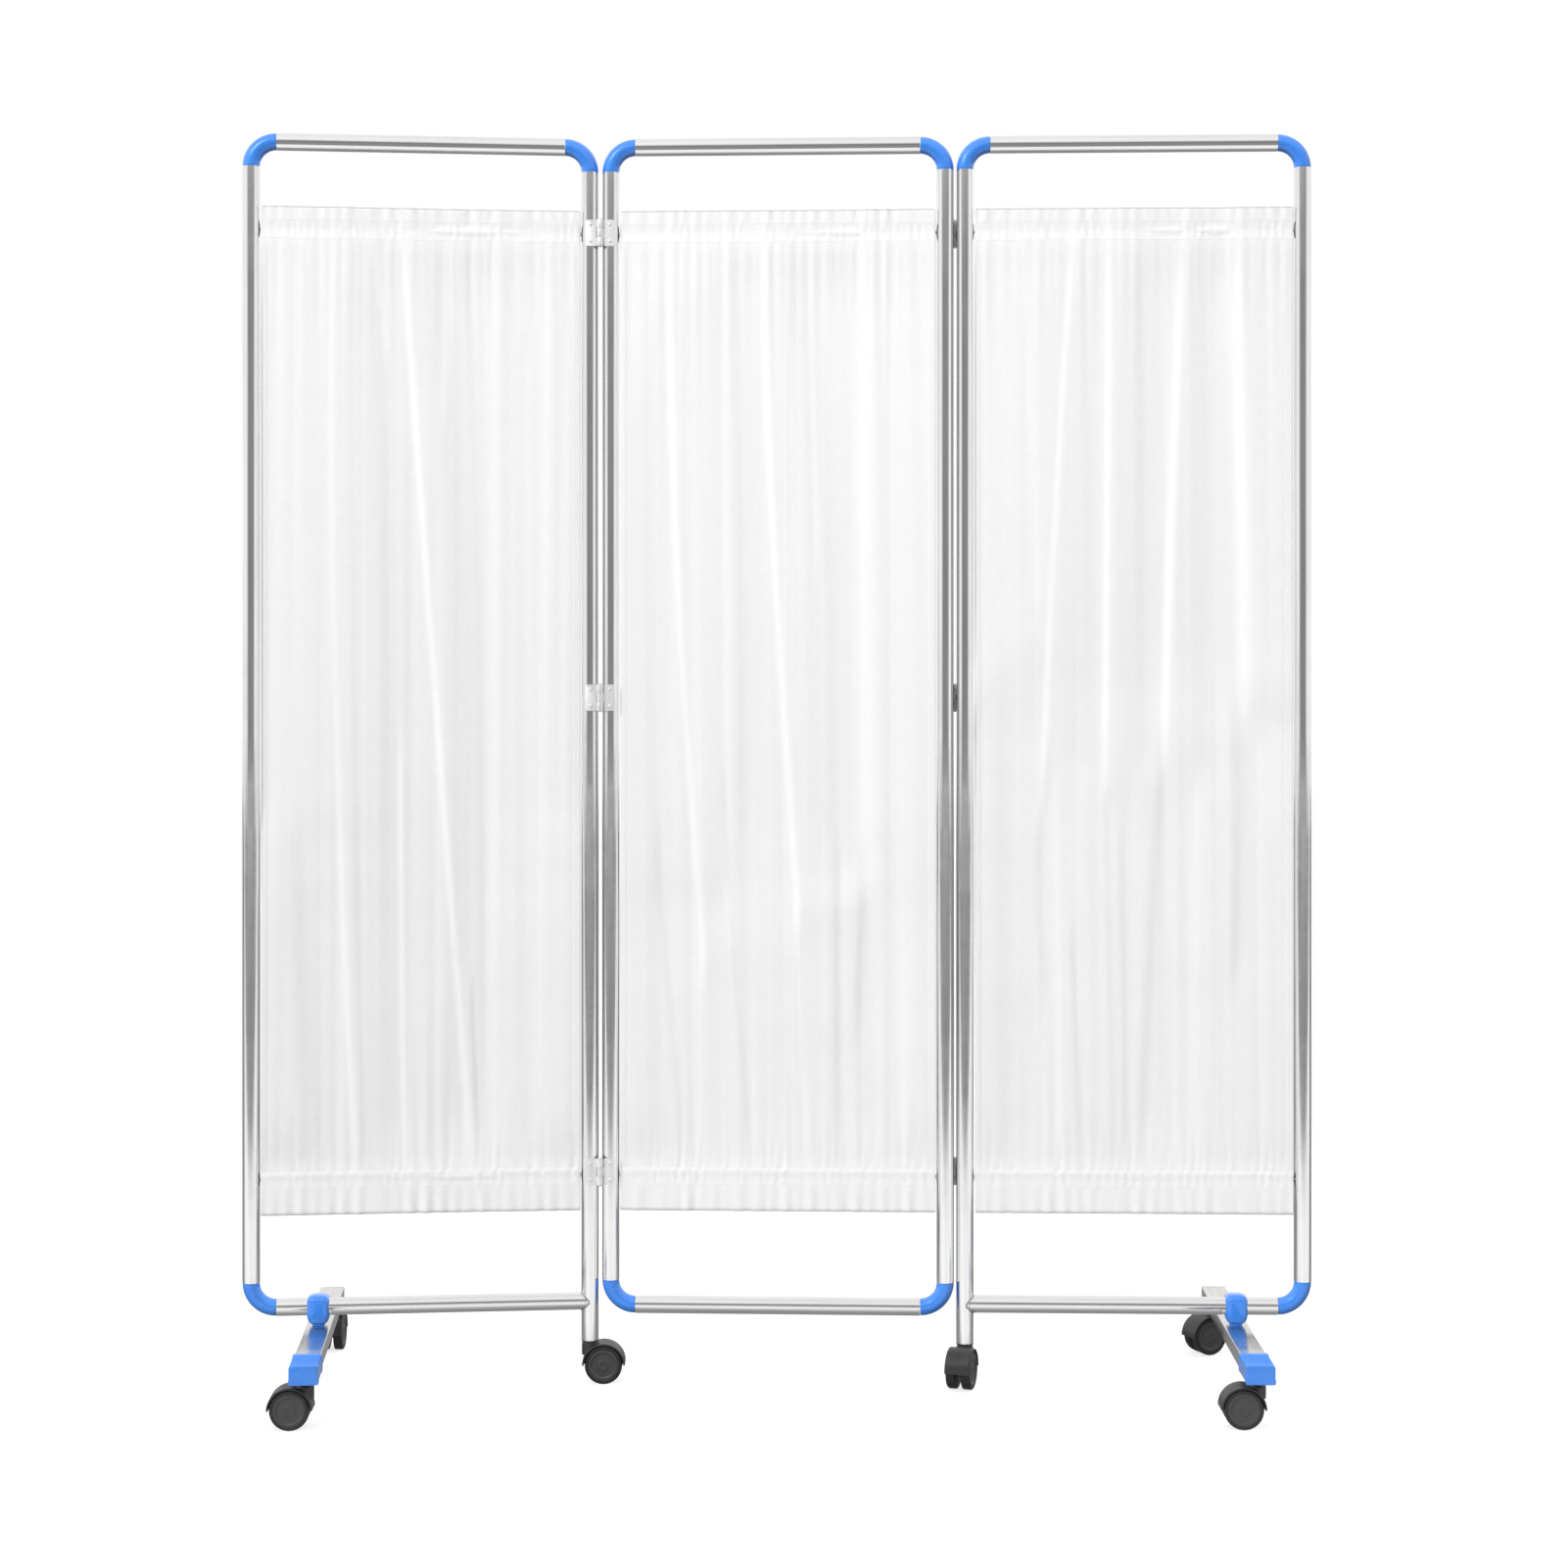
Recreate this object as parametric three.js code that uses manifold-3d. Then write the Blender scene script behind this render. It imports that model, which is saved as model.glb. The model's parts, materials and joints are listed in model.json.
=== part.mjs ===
// Three-fold ward privacy screen on castors.
// Millimetres, +Z up, the front of the screen towards -Y, the floor at z = 0.
import * as THREE from 'three';
import { mergeVertices } from 'three/addons/utils/BufferGeometryUtils.js';
import Module from 'manifold-3d';

const library = await Module();
library.setup();

// Whole screen
const overallHeight = 1800;
const uprightSpacing = 484; // centre to centre of the two uprights of one panel
const outerRailHeight = 117; // centre of an outer panel's bottom rail
const middleRailHeight = 112; // centre of the middle panel's bottom rail

// How far each panel is turned about +Z from the X axis
const leftPanelDegrees = 5.2;
const middlePanelDegrees = -2.3;
const rightPanelDegrees = -1.8;

// Gaps between pieces
const seatGap = 0.3; // between pieces that rest on or slide into each other
const uprightGap = 3; // between the uprights of neighbouring panels when they are in line

// Frame tube
const tubeDiameter = 25;
const tubeWall = 1.2;

// Corner elbow, a quarter bend with a spigot in each tube
const elbowDiameter = 24;
const elbowBendRadius = 36; // of its centreline
const spigotLength = 25;
const spigotRoot = 3; // how far a spigot starts inside the bend

// Hinge, three on each pair of uprights
const bottomHingeHeight = 306;
const topHingeDrop = 138; // from the top of the screen down to the top hinge
const middleHingeShare = 0.505; // of the way up from the bottom hinge to the top one
const hingeLength = 38;
const middleKnuckleLength = 13;
const knuckleDiameter = 9;
const knuckleClearance = 0.5; // from a knuckle to the leaf that swings round it
const barrelOffset = 15.5; // from the tubes' centres to the pin, front to back
const leafThickness = 2;
const leafSeat = 0.5; // how deep a leaf is let into the tube's wall
const leafReach = 21; // from the pin to the far edge of a leaf
const pinDiameter = 4;
const pinHeadDiameter = 7;
const pinHeadThickness = 1.5;

// Curtain rods
const rodDiameter = 6;
const topRodDrop = 138; // from the top of the screen down to the top rod
const bottomRodHeight = 300;
const rodReach = 7; // of a rod's end past the outer face of the upright's wall

// Curtain
const topFrill = 37; // of the curtain above its top rod
const bottomFrill = 50; // of the curtain below its bottom rod
const curtainSideGap = 1.5;
const clothThickness = 3;
const pocketHeight = 26; // of the sewn pocket that a rod runs through
const rodFoldDepth = 2.5; // swing of the folds to each side of the rod
const hangingFoldDepth = 7; // swing of the folds halfway down
const frillFoldDepth = 4; // swing of the free edge past a pocket
const foldWidth = 50;
const rodClearance = 0.4;

// Foot below each outer panel
const footInset = 95.5; // from the outer upright's centre to the foot bar's centre
const footStemSpread = 205; // from the rail to each castor's stem, front and back
const footBarWidth = 36;
const footBarHeight = 22;
const footBarWall = 1.5;
const capWall = 2;
const capLength = 70;
const capSolidLength = 46; // the part of an end cap past the bar's end
const capStemInset = 36; // from the foot's end face to the stem's centre
const capCornerRadius = 4;
const plugCoverThickness = 3; // of the plug's end outside the bar
const plugLength = 55;
const plugBossDiameter = 24; // of the boss that passes down through the bar to the castor
const clampDiameter = 34;
const clampTopHeight = 135;
const clampDomeHeight = 12;

// Castor with twin wheels
const castorHeight = 66; // from the floor to the face that the castor is mounted against
const castorTrail = 20; // from the stem's centre back to the axle
const wheelRadius = 27; // to the flats of the tread
const wheelWidth = 13;
const wheelGap = 9; // between the two wheels
const treadChamfer = 1.5;
const dishRadius = 17;
const dishDepth = 1.5;
const axleDiameter = 6;
const hoodClearance = 0.9; // from the tread to the hood
const hoodWall = 2.6;
const hoodSideOverhang = 0.5; // of the hood past the wheels' outer faces
const webSideGap = 0.5; // from the hood's middle web to a wheel
const axleBossRadius = 8;
const collarDiameter = 20;
const stemDiameter = 10;
const stemLength = 20;
const stemBoreDepth = 22;
const socketFlangeThickness = 3;

// Which way each castor trails, about +Z from its panel's X axis
const leftFrontDegrees = 178;
const leftRearDegrees = 85;
const leftInnerDegrees = -4;
const rightFrontDegrees = 181;
const rightRearDegrees = 206;
const rightInnerDegrees = 254;

// Facets
const tubeSides = 16;
const elbowSteps = 5;
const knuckleSides = 10;
const smallSides = 8;
const wheelSides = 16;
const clampSides = 20;
const domeSteps = 3;
const cornerSegments = 2;
const hoodSteps = 10;
const columnsPerFold = 4;
const hangingRows = 5; // of a curtain's corners between its two pockets

// Reach of a cutting piece past the surface that it cuts, and how near two corners are one
const cutOverrun = 5;
const weldDistance = 0.0005;

// Sizes that follow from those above
const tubeRadius = tubeDiameter / 2;
const boreRadius = tubeRadius - tubeWall;
const topRailHeight = overallHeight - tubeRadius;
const topHingeHeight = overallHeight - topHingeDrop;
const middleHingeHeight = bottomHingeHeight + middleHingeShare * (topHingeHeight - bottomHingeHeight);
const hingeHeights = { bottom: bottomHingeHeight, middle: middleHingeHeight, top: topHingeHeight };
const topRodHeight = overallHeight - topRodDrop;
const curtainTop = topRodHeight + topFrill;
const curtainBottom = bottomRodHeight - bottomFrill;
const barrelSide = (tubeDiameter + uprightGap) / 2;
const pinRadius = pinDiameter / 2;
const footHeight = footBarHeight + 2 * (capWall + seatGap);
const footCentre = castorHeight + footHeight / 2;
const footBarTop = footCentre + footBarHeight / 2;
const footReach = footStemSpread + capStemInset; // from the rail to each end of the foot
const insertTop = castorHeight + socketFlangeThickness + seatGap;
const stemRadius = stemDiameter / 2;
const spigotRadius = boreRadius * Math.cos(Math.PI / tubeSides) - seatGap;
const treadRadius = wheelRadius / Math.cos(Math.PI / wheelSides); // to the corners between the flats

const finishes = {
  steel: { color: 0xc4c7ca, roughness: 0.22, metalness: 1 },
  blue: { color: 0x5f93e6, roughness: 0.35, metalness: 0 },
  cloth: { color: 0xeef0f1, roughness: 0.9, metalness: 0 },
  black: { color: 0x38383a, roughness: 0.5, metalness: 0 },
};

// Joining and cutting

// Merges shared corners and leaves out the empty triangles at a turned shape's poles
function closedGeometry(geometry) {
  const bare = geometry.clone();
  bare.deleteAttribute('normal');
  bare.deleteAttribute('uv');
  const merged = mergeVertices(bare, weldDistance);
  const corners = merged.index.array;
  const kept = [];
  for (let i = 0; i < corners.length; i += 3) {
    const [a, b, c] = [corners[i], corners[i + 1], corners[i + 2]];
    if (a !== b && b !== c && c !== a) kept.push(a, b, c);
  }
  merged.setIndex(kept);
  return merged;
}

function solidOf(geometry) {
  const closed = closedGeometry(geometry);
  return new library.Manifold(new library.Mesh({
    numProp: 3,
    vertProperties: new Float32Array(closed.attributes.position.array),
    triVerts: new Uint32Array(closed.index.array),
  }));
}

function geometryOf(solid) {
  const mesh = solid.getMesh();
  const geometry = new THREE.BufferGeometry();
  geometry.setAttribute('position', new THREE.BufferAttribute(new Float32Array(mesh.vertProperties), 3));
  geometry.setIndex(new THREE.BufferAttribute(new Uint32Array(mesh.triVerts), 1));
  return geometry;
}

// Basic shapes

// A profile of radius and height pairs, turned about +Z
function turned(profile, sides) {
  const points = profile.map(([radius, height]) => new THREE.Vector2(radius, height));
  return new THREE.LatheGeometry(points, sides).rotateX(Math.PI / 2);
}

function post(radius, low, high, sides) {
  return turned([[0, low], [radius, low], [radius, high], [0, high]], sides);
}

// A round bar along +X
function barAlongX(radius, from, to, sides) {
  return post(radius, from, to, sides).rotateY(Math.PI / 2);
}

// A round bar along +Y, with a flat side facing down
function barAlongY(radius, from, to, sides) {
  return post(radius, from, to, sides).rotateZ(Math.PI / sides).rotateX(-Math.PI / 2);
}

// Corner radius of a faceted bore whose flats clear a round piece by a gap
function clearRadius(radius, gap, sides) {
  return (radius + gap) / Math.cos(Math.PI / sides);
}

function hollowTube(low, high) {
  const profile = [[boreRadius, low], [tubeRadius, low], [tubeRadius, high], [boreRadius, high], [boreRadius, low]];
  return turned(profile, tubeSides);
}

// A shape drawn in X and Z, with its thickness centred on Y
function plate(shape, thickness, curveSegments) {
  const settings = { depth: thickness, bevelEnabled: false, curveSegments };
  return new THREE.ExtrudeGeometry(shape, settings).rotateX(Math.PI / 2).translate(0, thickness / 2, 0);
}

function roundedRectangle(width, height, radius) {
  const [x, y] = [width / 2, height / 2];
  const shape = new THREE.Shape();
  shape.moveTo(-x + radius, -y);
  shape.lineTo(x - radius, -y);
  shape.absarc(x - radius, -y + radius, radius, -Math.PI / 2, 0);
  shape.lineTo(x, y - radius);
  shape.absarc(x - radius, y - radius, radius, 0, Math.PI / 2);
  shape.lineTo(-x + radius, y);
  shape.absarc(-x + radius, y - radius, radius, Math.PI / 2, Math.PI);
  shape.lineTo(-x, -y + radius);
  shape.absarc(-x + radius, -y + radius, radius, Math.PI, Math.PI * 1.5);
  return shape;
}

// Adds one named piece to a group
function add(group, name, shape, finish, [x, y, z] = [0, 0, 0]) {
  const geometry = shape.isBufferGeometry ? closedGeometry(shape) : geometryOf(shape);
  const flat = geometry.toNonIndexed();
  flat.computeVertexNormals();
  const mesh = new THREE.Mesh(flat, new THREE.MeshStandardMaterial(finishes[finish]));
  mesh.name = name;
  mesh.position.set(x, y, z);
  group.add(mesh);
  return mesh;
}

// Frame pieces, each built about the centre of its own tube

// Cuts the hole for a curtain rod through the wall that faces the curtain
function withRodHoles(upright, towardsCurtain) {
  const radius = clearRadius(rodDiameter / 2, rodClearance, smallSides);
  const hole = solidOf(barAlongX(radius, 0, tubeRadius + cutOverrun, smallSides));
  const turn = towardsCurtain > 0 ? hole : hole.rotate([0, 0, 180]);
  const top = turn.translate([0, 0, topRodHeight]);
  const bottom = turn.translate([0, 0, bottomRodHeight]);
  return upright.subtract(top).subtract(bottom);
}

// One leaf with its knuckles. side is where the neighbour stands, face is -1 for a hinge on the front
function hingeLeaf(side, face, hasMiddleKnuckle) {
  const [pinX, pinY] = [side * barrelSide, face * barrelOffset];
  const half = hingeLength / 2;
  const split = middleKnuckleLength / 2;
  const leafY = face * (tubeRadius - leafSeat + leafThickness / 2);
  const leaf = new THREE.BoxGeometry(leafReach, leafThickness, hingeLength)
    .translate(pinX - side * leafReach / 2, leafY, 0);
  const barrel = (radius, low, high) => solidOf(post(radius, low, high, knuckleSides).translate(pinX, pinY, 0));
  const knuckle = knuckleDiameter / 2;
  const swing = clearRadius(knuckle, knuckleClearance, knuckleSides);
  const play = seatGap / 2;
  let solid = solidOf(leaf);
  if (hasMiddleKnuckle) {
    solid = solid.subtract(barrel(swing, split - play, half + cutOverrun));
    solid = solid.subtract(barrel(swing, -half - cutOverrun, play - split));
    solid = solid.add(barrel(knuckle, play - split, split - play));
  } else {
    solid = solid.subtract(barrel(swing, -split - play, split + play));
    solid = solid.add(barrel(knuckle, split + play, half));
    solid = solid.add(barrel(knuckle, -half, -split - play));
  }
  const bore = clearRadius(pinRadius, seatGap, knuckleSides);
  return solid.subtract(barrel(bore, -half - cutOverrun, half + cutOverrun));
}

function hingedUpright(low, side, face, hasMiddleKnuckle) {
  let upright = solidOf(hollowTube(low, topRailHeight - elbowBendRadius - seatGap));
  for (const height of Object.values(hingeHeights)) {
    upright = upright.add(hingeLeaf(side, face, hasMiddleKnuckle).translate([0, 0, height]));
  }
  return withRodHoles(upright, -side);
}

function outerUpright(towardsCurtain) {
  const low = outerRailHeight + elbowBendRadius + seatGap;
  const high = topRailHeight - elbowBendRadius - seatGap;
  return withRodHoles(solidOf(hollowTube(low, high)), towardsCurtain);
}

function hingePin() {
  const [shaft, head] = [hingeLength / 2 + seatGap, pinHeadDiameter / 2];
  const end = shaft + pinHeadThickness;
  const profile = [
    [0, -end], [head, -end], [head, -shaft], [pinRadius, -shaft],
    [pinRadius, shaft], [head, shaft], [head, end], [0, end],
  ];
  return turned(profile, smallSides);
}

function rail(from, to) {
  return hollowTube(from, to).rotateY(Math.PI / 2);
}

// A bottom rail that ends against the side of a round upright, at weldedSide
function copedRail(weldedSide) {
  const elbowEnd = uprightSpacing / 2 - elbowBendRadius - seatGap;
  const uprightCentre = uprightSpacing / 2;
  const straight = weldedSide > 0 ? rail(-elbowEnd, uprightCentre) : rail(-uprightCentre, elbowEnd);
  const cope = post(clearRadius(tubeRadius, seatGap, tubeSides), -tubeDiameter, tubeDiameter, tubeSides)
    .translate(weldedSide * uprightCentre, 0, 0);
  return solidOf(straight).subtract(solidOf(cope));
}

// Quarter bend from the rail, along +X, down to the upright, with the tubes' meeting point at zero
class CornerBend extends THREE.Curve {
  getPoint(share) {
    const angle = share * Math.PI / 2;
    const x = elbowBendRadius * (1 - Math.sin(angle));
    return new THREE.Vector3(x, 0, elbowBendRadius * (Math.cos(angle) - 1));
  }
}

function elbow() {
  const section = new THREE.Shape().absarc(0, 0, elbowDiameter / 2, 0, 2 * Math.PI);
  const settings = { steps: elbowSteps, curveSegments: tubeSides / 2, extrudePath: new CornerBend() };
  const bend = solidOf(new THREE.ExtrudeGeometry(section, settings));
  const [root, tip] = [elbowBendRadius - spigotRoot, elbowBendRadius + spigotLength];
  const railSpigot = solidOf(barAlongX(spigotRadius, root, tip, knuckleSides));
  const uprightSpigot = solidOf(post(spigotRadius, -tip, -root, knuckleSides));
  return bend.add(railSpigot).add(uprightSpigot);
}

// side is -1 for a left corner, level is 1 for a top corner
function addElbow(group, name, side, level, height) {
  const mesh = add(group, name, elbow(), 'blue', [side * uprightSpacing / 2, 0, height]);
  mesh.rotation.set(level > 0 ? 0 : Math.PI, 0, 0);
  if (side > 0) mesh.rotation.set(0, level > 0 ? 0 : Math.PI, level > 0 ? Math.PI : 0);
  return mesh;
}

// Curtain

function curtainRod() {
  const reach = uprightSpacing / 2 - tubeRadius + rodReach;
  return barAlongX(rodDiameter / 2, -reach, reach, smallSides);
}

// Rows from the bottom edge to the top edge, each with its folds' swing and half its thickness
function curtainRows() {
  const sheet = clothThickness / 2;
  const pocket = clearRadius(rodDiameter / 2, rodClearance, smallSides) + rodFoldDepth + sheet;
  const edge = pocketHeight / 2;
  const row = (height, swing, half) => ({ height, swing, half });
  const hanging = Array.from({ length: hangingRows }, (_, i) => {
    const share = (i + 1) / (hangingRows + 1);
    const height = THREE.MathUtils.lerp(bottomRodHeight + edge, topRodHeight - edge, share);
    const swing = THREE.MathUtils.lerp(rodFoldDepth, hangingFoldDepth, Math.sin(Math.PI * share));
    return row(height, swing, sheet);
  });
  return [
    row(curtainBottom, frillFoldDepth, sheet),
    row(bottomRodHeight - edge, rodFoldDepth, sheet),
    row(bottomRodHeight, rodFoldDepth, pocket),
    row(bottomRodHeight + edge, rodFoldDepth, sheet),
    ...hanging,
    row(topRodHeight - edge, rodFoldDepth, sheet),
    row(topRodHeight, rodFoldDepth, pocket),
    row(topRodHeight + edge, rodFoldDepth, sheet),
    row(curtainTop, frillFoldDepth, sheet),
  ];
}

// How the folds of one curtain wander: turns of phase from bottom to top, and at the left edge
const foldWander = {
  left: { leanTurns: 0.9, startTurns: 0.1 },
  middle: { leanTurns: 0.6, startTurns: 0.55 },
  right: { leanTurns: -0.35, startTurns: 0.3 },
};
const slowFoldShare = 0.35; // swing of the broad folds against that of the narrow ones
const slowFoldCountShare = 0.4; // number of broad folds against that of the narrow ones

function foldSwing(across, up, folds, { leanTurns, startTurns }) {
  const phase = startTurns + leanTurns * up;
  const narrow = Math.sin(2 * Math.PI * (folds * across + phase));
  const broad = Math.sin(2 * Math.PI * (folds * slowFoldCountShare * across + startTurns));
  const fade = Math.min(1, across * folds, (1 - across) * folds);
  return fade * (narrow + slowFoldShare * broad) / (1 + slowFoldShare);
}

// A closed sheet of cloth in upright folds, bored for its two rods
function curtain(wander) {
  const width = uprightSpacing - tubeDiameter - 2 * curtainSideGap;
  const folds = Math.round(width / foldWidth);
  const columns = folds * columnsPerFold;
  const rows = curtainRows();
  const perRow = columns + 1;
  const layer = rows.length * perRow;
  const positions = [];
  for (const face of [-1, 1]) {
    for (const { height, swing, half } of rows) {
      const up = (height - curtainBottom) / (curtainTop - curtainBottom);
      for (let column = 0; column <= columns; column += 1) {
        const across = column / columns;
        const y = swing * foldSwing(across, up, folds, wander) + face * half;
        positions.push((across - 0.5) * width, y, height);
      }
    }
  }
  const triangles = [];
  const quad = (a, b, c, d) => triangles.push(a, b, c, a, c, d);
  for (let row = 0; row < rows.length - 1; row += 1) {
    for (let column = 0; column < columns; column += 1) {
      const corner = row * perRow + column;
      quad(corner, corner + 1, corner + 1 + perRow, corner + perRow);
      quad(layer + corner + 1, layer + corner, layer + corner + perRow, layer + corner + 1 + perRow);
    }
    const [left, right] = [row * perRow, row * perRow + columns];
    quad(layer + left, left, left + perRow, layer + left + perRow);
    quad(right, layer + right, layer + right + perRow, right + perRow);
  }
  const top = (rows.length - 1) * perRow;
  for (let column = 0; column < columns; column += 1) {
    quad(layer + column, layer + column + 1, column + 1, column);
    quad(top + column, top + column + 1, layer + top + column + 1, layer + top + column);
  }
  const sheet = new THREE.BufferGeometry();
  sheet.setAttribute('position', new THREE.Float32BufferAttribute(positions, 3));
  sheet.setIndex(triangles);
  const bore = barAlongX(clearRadius(rodDiameter / 2, rodClearance, smallSides), -width, width, smallSides);
  let solid = solidOf(sheet);
  for (const height of [bottomRodHeight, topRodHeight]) {
    solid = solid.subtract(solidOf(bore.clone().translate(0, 0, height)));
  }
  return solid;
}

function addCurtain(group, panel) {
  add(group, `${panel}_top_curtain_rod`, curtainRod(), 'steel', [0, 0, topRodHeight]);
  add(group, `${panel}_bottom_curtain_rod`, curtainRod(), 'steel', [0, 0, bottomRodHeight]);
  add(group, `${panel}_curtain`, curtain(foldWander[panel]), 'cloth');
}

// Castor

// Hood, web, collar and stem in one piece, with the stem's centre at zero and the floor at z = 0
function castorBody() {
  const cavity = clearRadius(treadRadius, hoodClearance, wheelSides);
  const outer = cavity + hoodWall;
  const hoodWidth = wheelGap + 2 * (wheelWidth + hoodSideOverhang);
  const shape = new THREE.Shape();
  shape.absarc(castorTrail, wheelRadius, outer, 0, Math.PI);
  shape.lineTo(castorTrail - axleBossRadius, wheelRadius - axleBossRadius);
  shape.lineTo(castorTrail + axleBossRadius, wheelRadius - axleBossRadius);
  const hood = solidOf(plate(shape, hoodWidth, hoodSteps / 2));
  const collarTop = castorHeight - seatGap;
  const collar = solidOf(post(collarDiameter / 2, wheelRadius, collarTop, tubeSides));
  const stem = solidOf(post(stemRadius, wheelRadius, collarTop + stemLength, smallSides));
  const webHalf = wheelGap / 2 - webSideGap;
  const disc = (from, to) => solidOf(barAlongY(cavity, from, to, wheelSides)
    .translate(castorTrail, 0, wheelRadius));
  const wheelSpace = disc(webHalf, hoodWidth).add(disc(-hoodWidth, -webHalf));
  const boreCorner = clearRadius(axleDiameter / 2, seatGap, smallSides);
  const axleBore = solidOf(barAlongY(boreCorner, -hoodWidth, hoodWidth, smallSides)
    .translate(castorTrail, 0, wheelRadius));
  return hood.add(collar).add(stem).subtract(wheelSpace).subtract(axleBore);
}

// Two wheels on their axle, centred on it, with a flat of the tread facing down
function castorWheels() {
  const [inner, outer] = [wheelGap / 2, wheelGap / 2 + wheelWidth];
  const half = [
    [axleDiameter / 2, inner], [treadRadius, inner],
    [treadRadius, outer - treadChamfer], [treadRadius - treadChamfer, outer],
    [dishRadius, outer], [dishRadius - dishDepth, outer - dishDepth], [0, outer - dishDepth],
  ];
  const mirrored = half.map(([radius, reach]) => [radius, -reach]).reverse();
  return turned([...mirrored, ...half], wheelSides).rotateZ(Math.PI / wheelSides).rotateX(-Math.PI / 2);
}

function addCastor(group, name, x, y, turnDegrees) {
  const castor = new THREE.Group();
  castor.position.set(x, y, 0);
  castor.rotation.z = THREE.MathUtils.degToRad(turnDegrees);
  add(castor, `${name}_castor_body`, castorBody(), 'black');
  add(castor, `${name}_castor_wheels`, castorWheels(), 'black', [castorTrail, 0, wheelRadius]);
  group.add(castor);
}

// Plug in the lower end of an inner upright, with the castor's socket in it
function socketInsert() {
  const profile = [
    [0, castorHeight], [tubeRadius, castorHeight], [tubeRadius, insertTop - seatGap],
    [spigotRadius, insertTop - seatGap], [spigotRadius, insertTop + spigotLength], [0, insertTop + spigotLength],
  ];
  return solidOf(turned(profile, tubeSides)).subtract(stemBore(stemBoreDepth));
}

function stemBore(depth) {
  const radius = clearRadius(stemRadius, seatGap, smallSides);
  return solidOf(post(radius, castorHeight - cutOverrun, castorHeight + depth, smallSides));
}

// Foot

// From inside the front cap to the plug's cover, with the hole that the plug's boss passes through
function footBar() {
  const front = -(footReach - capSolidLength - seatGap);
  const rear = footReach - plugCoverThickness - seatGap;
  const [length, middle] = [rear - front, (rear + front) / 2];
  const [width, height, wall] = [footBarWidth, footBarHeight, footBarWall];
  const outside = new THREE.BoxGeometry(width, length, height).translate(0, middle, 0);
  const inside = new THREE.BoxGeometry(width - 2 * wall, length + 2 * cutOverrun, height - 2 * wall)
    .translate(0, middle, 0);
  const hole = post(clearRadius(plugBossDiameter / 2, seatGap, tubeSides), -height, 0, tubeSides)
    .translate(0, footStemSpread, 0);
  return solidOf(outside).subtract(solidOf(inside)).subtract(solidOf(hole));
}

// Plug for the rear end of the bar, with its stem bore at zero
function footEndPlug() {
  const slack = 2 * (footBarWall + seatGap);
  const cover = new THREE.BoxGeometry(footBarWidth, plugCoverThickness, footBarHeight)
    .translate(0, capStemInset - plugCoverThickness / 2, footCentre);
  const block = new THREE.BoxGeometry(footBarWidth - slack, plugLength, footBarHeight - slack)
    .translate(0, capStemInset - plugLength / 2, footCentre);
  const boss = post(plugBossDiameter / 2, castorHeight, footCentre, tubeSides);
  return solidOf(cover).add(solidOf(block)).add(solidOf(boss)).subtract(stemBore(footHeight));
}

// Cap for the front end of the bar, with its stem bore at zero
function footEndCap() {
  const width = footBarWidth + 2 * (capWall + seatGap);
  const pocketLength = capLength - capSolidLength;
  const pocketCentre = capSolidLength - capStemInset + (pocketLength + cutOverrun) / 2;
  const block = plate(roundedRectangle(width, footHeight, capCornerRadius), capLength, cornerSegments)
    .translate(0, capLength / 2 - capStemInset, footCentre);
  const pocket = new THREE.BoxGeometry(
    footBarWidth + 2 * seatGap,
    pocketLength + cutOverrun,
    footBarHeight + 2 * seatGap,
  ).translate(0, pocketCentre, footCentre);
  return solidOf(block).subtract(solidOf(pocket)).subtract(stemBore(stemBoreDepth));
}

// Domed saddle that stands on the bar and holds the rail
function footClamp() {
  const [radius, low] = [clampDiameter / 2, footBarTop + seatGap];
  const shoulder = clampTopHeight - clampDomeHeight;
  const profile = [[0, low], [radius, low], [radius, shoulder]];
  for (let step = 1; step <= domeSteps; step += 1) {
    const angle = step / domeSteps * Math.PI / 2;
    const reach = step < domeSteps ? radius * Math.cos(angle) : 0;
    profile.push([reach, shoulder + clampDomeHeight * Math.sin(angle)]);
  }
  const railHole = barAlongX(clearRadius(tubeRadius, seatGap, tubeSides), -clampDiameter, clampDiameter, tubeSides)
    .translate(0, 0, outerRailHeight);
  return solidOf(turned(profile, clampSides)).subtract(solidOf(railHole));
}

function addFoot(group, panel, x, frontTurn, rearTurn) {
  add(group, `${panel}_foot_bar`, footBar(), 'steel', [x, 0, footCentre]);
  add(group, `${panel}_foot_clamp`, footClamp(), 'blue', [x, 0, 0]);
  add(group, `${panel}_front_foot_cap`, footEndCap(), 'blue', [x, -footStemSpread, 0]);
  add(group, `${panel}_rear_foot_plug`, footEndPlug(), 'black', [x, footStemSpread, 0]);
  addCastor(group, `${panel}_front`, x, -footStemSpread, frontTurn);
  addCastor(group, `${panel}_rear`, x, footStemSpread, rearTurn);
}

// Panels, each centred between its two uprights

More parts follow.
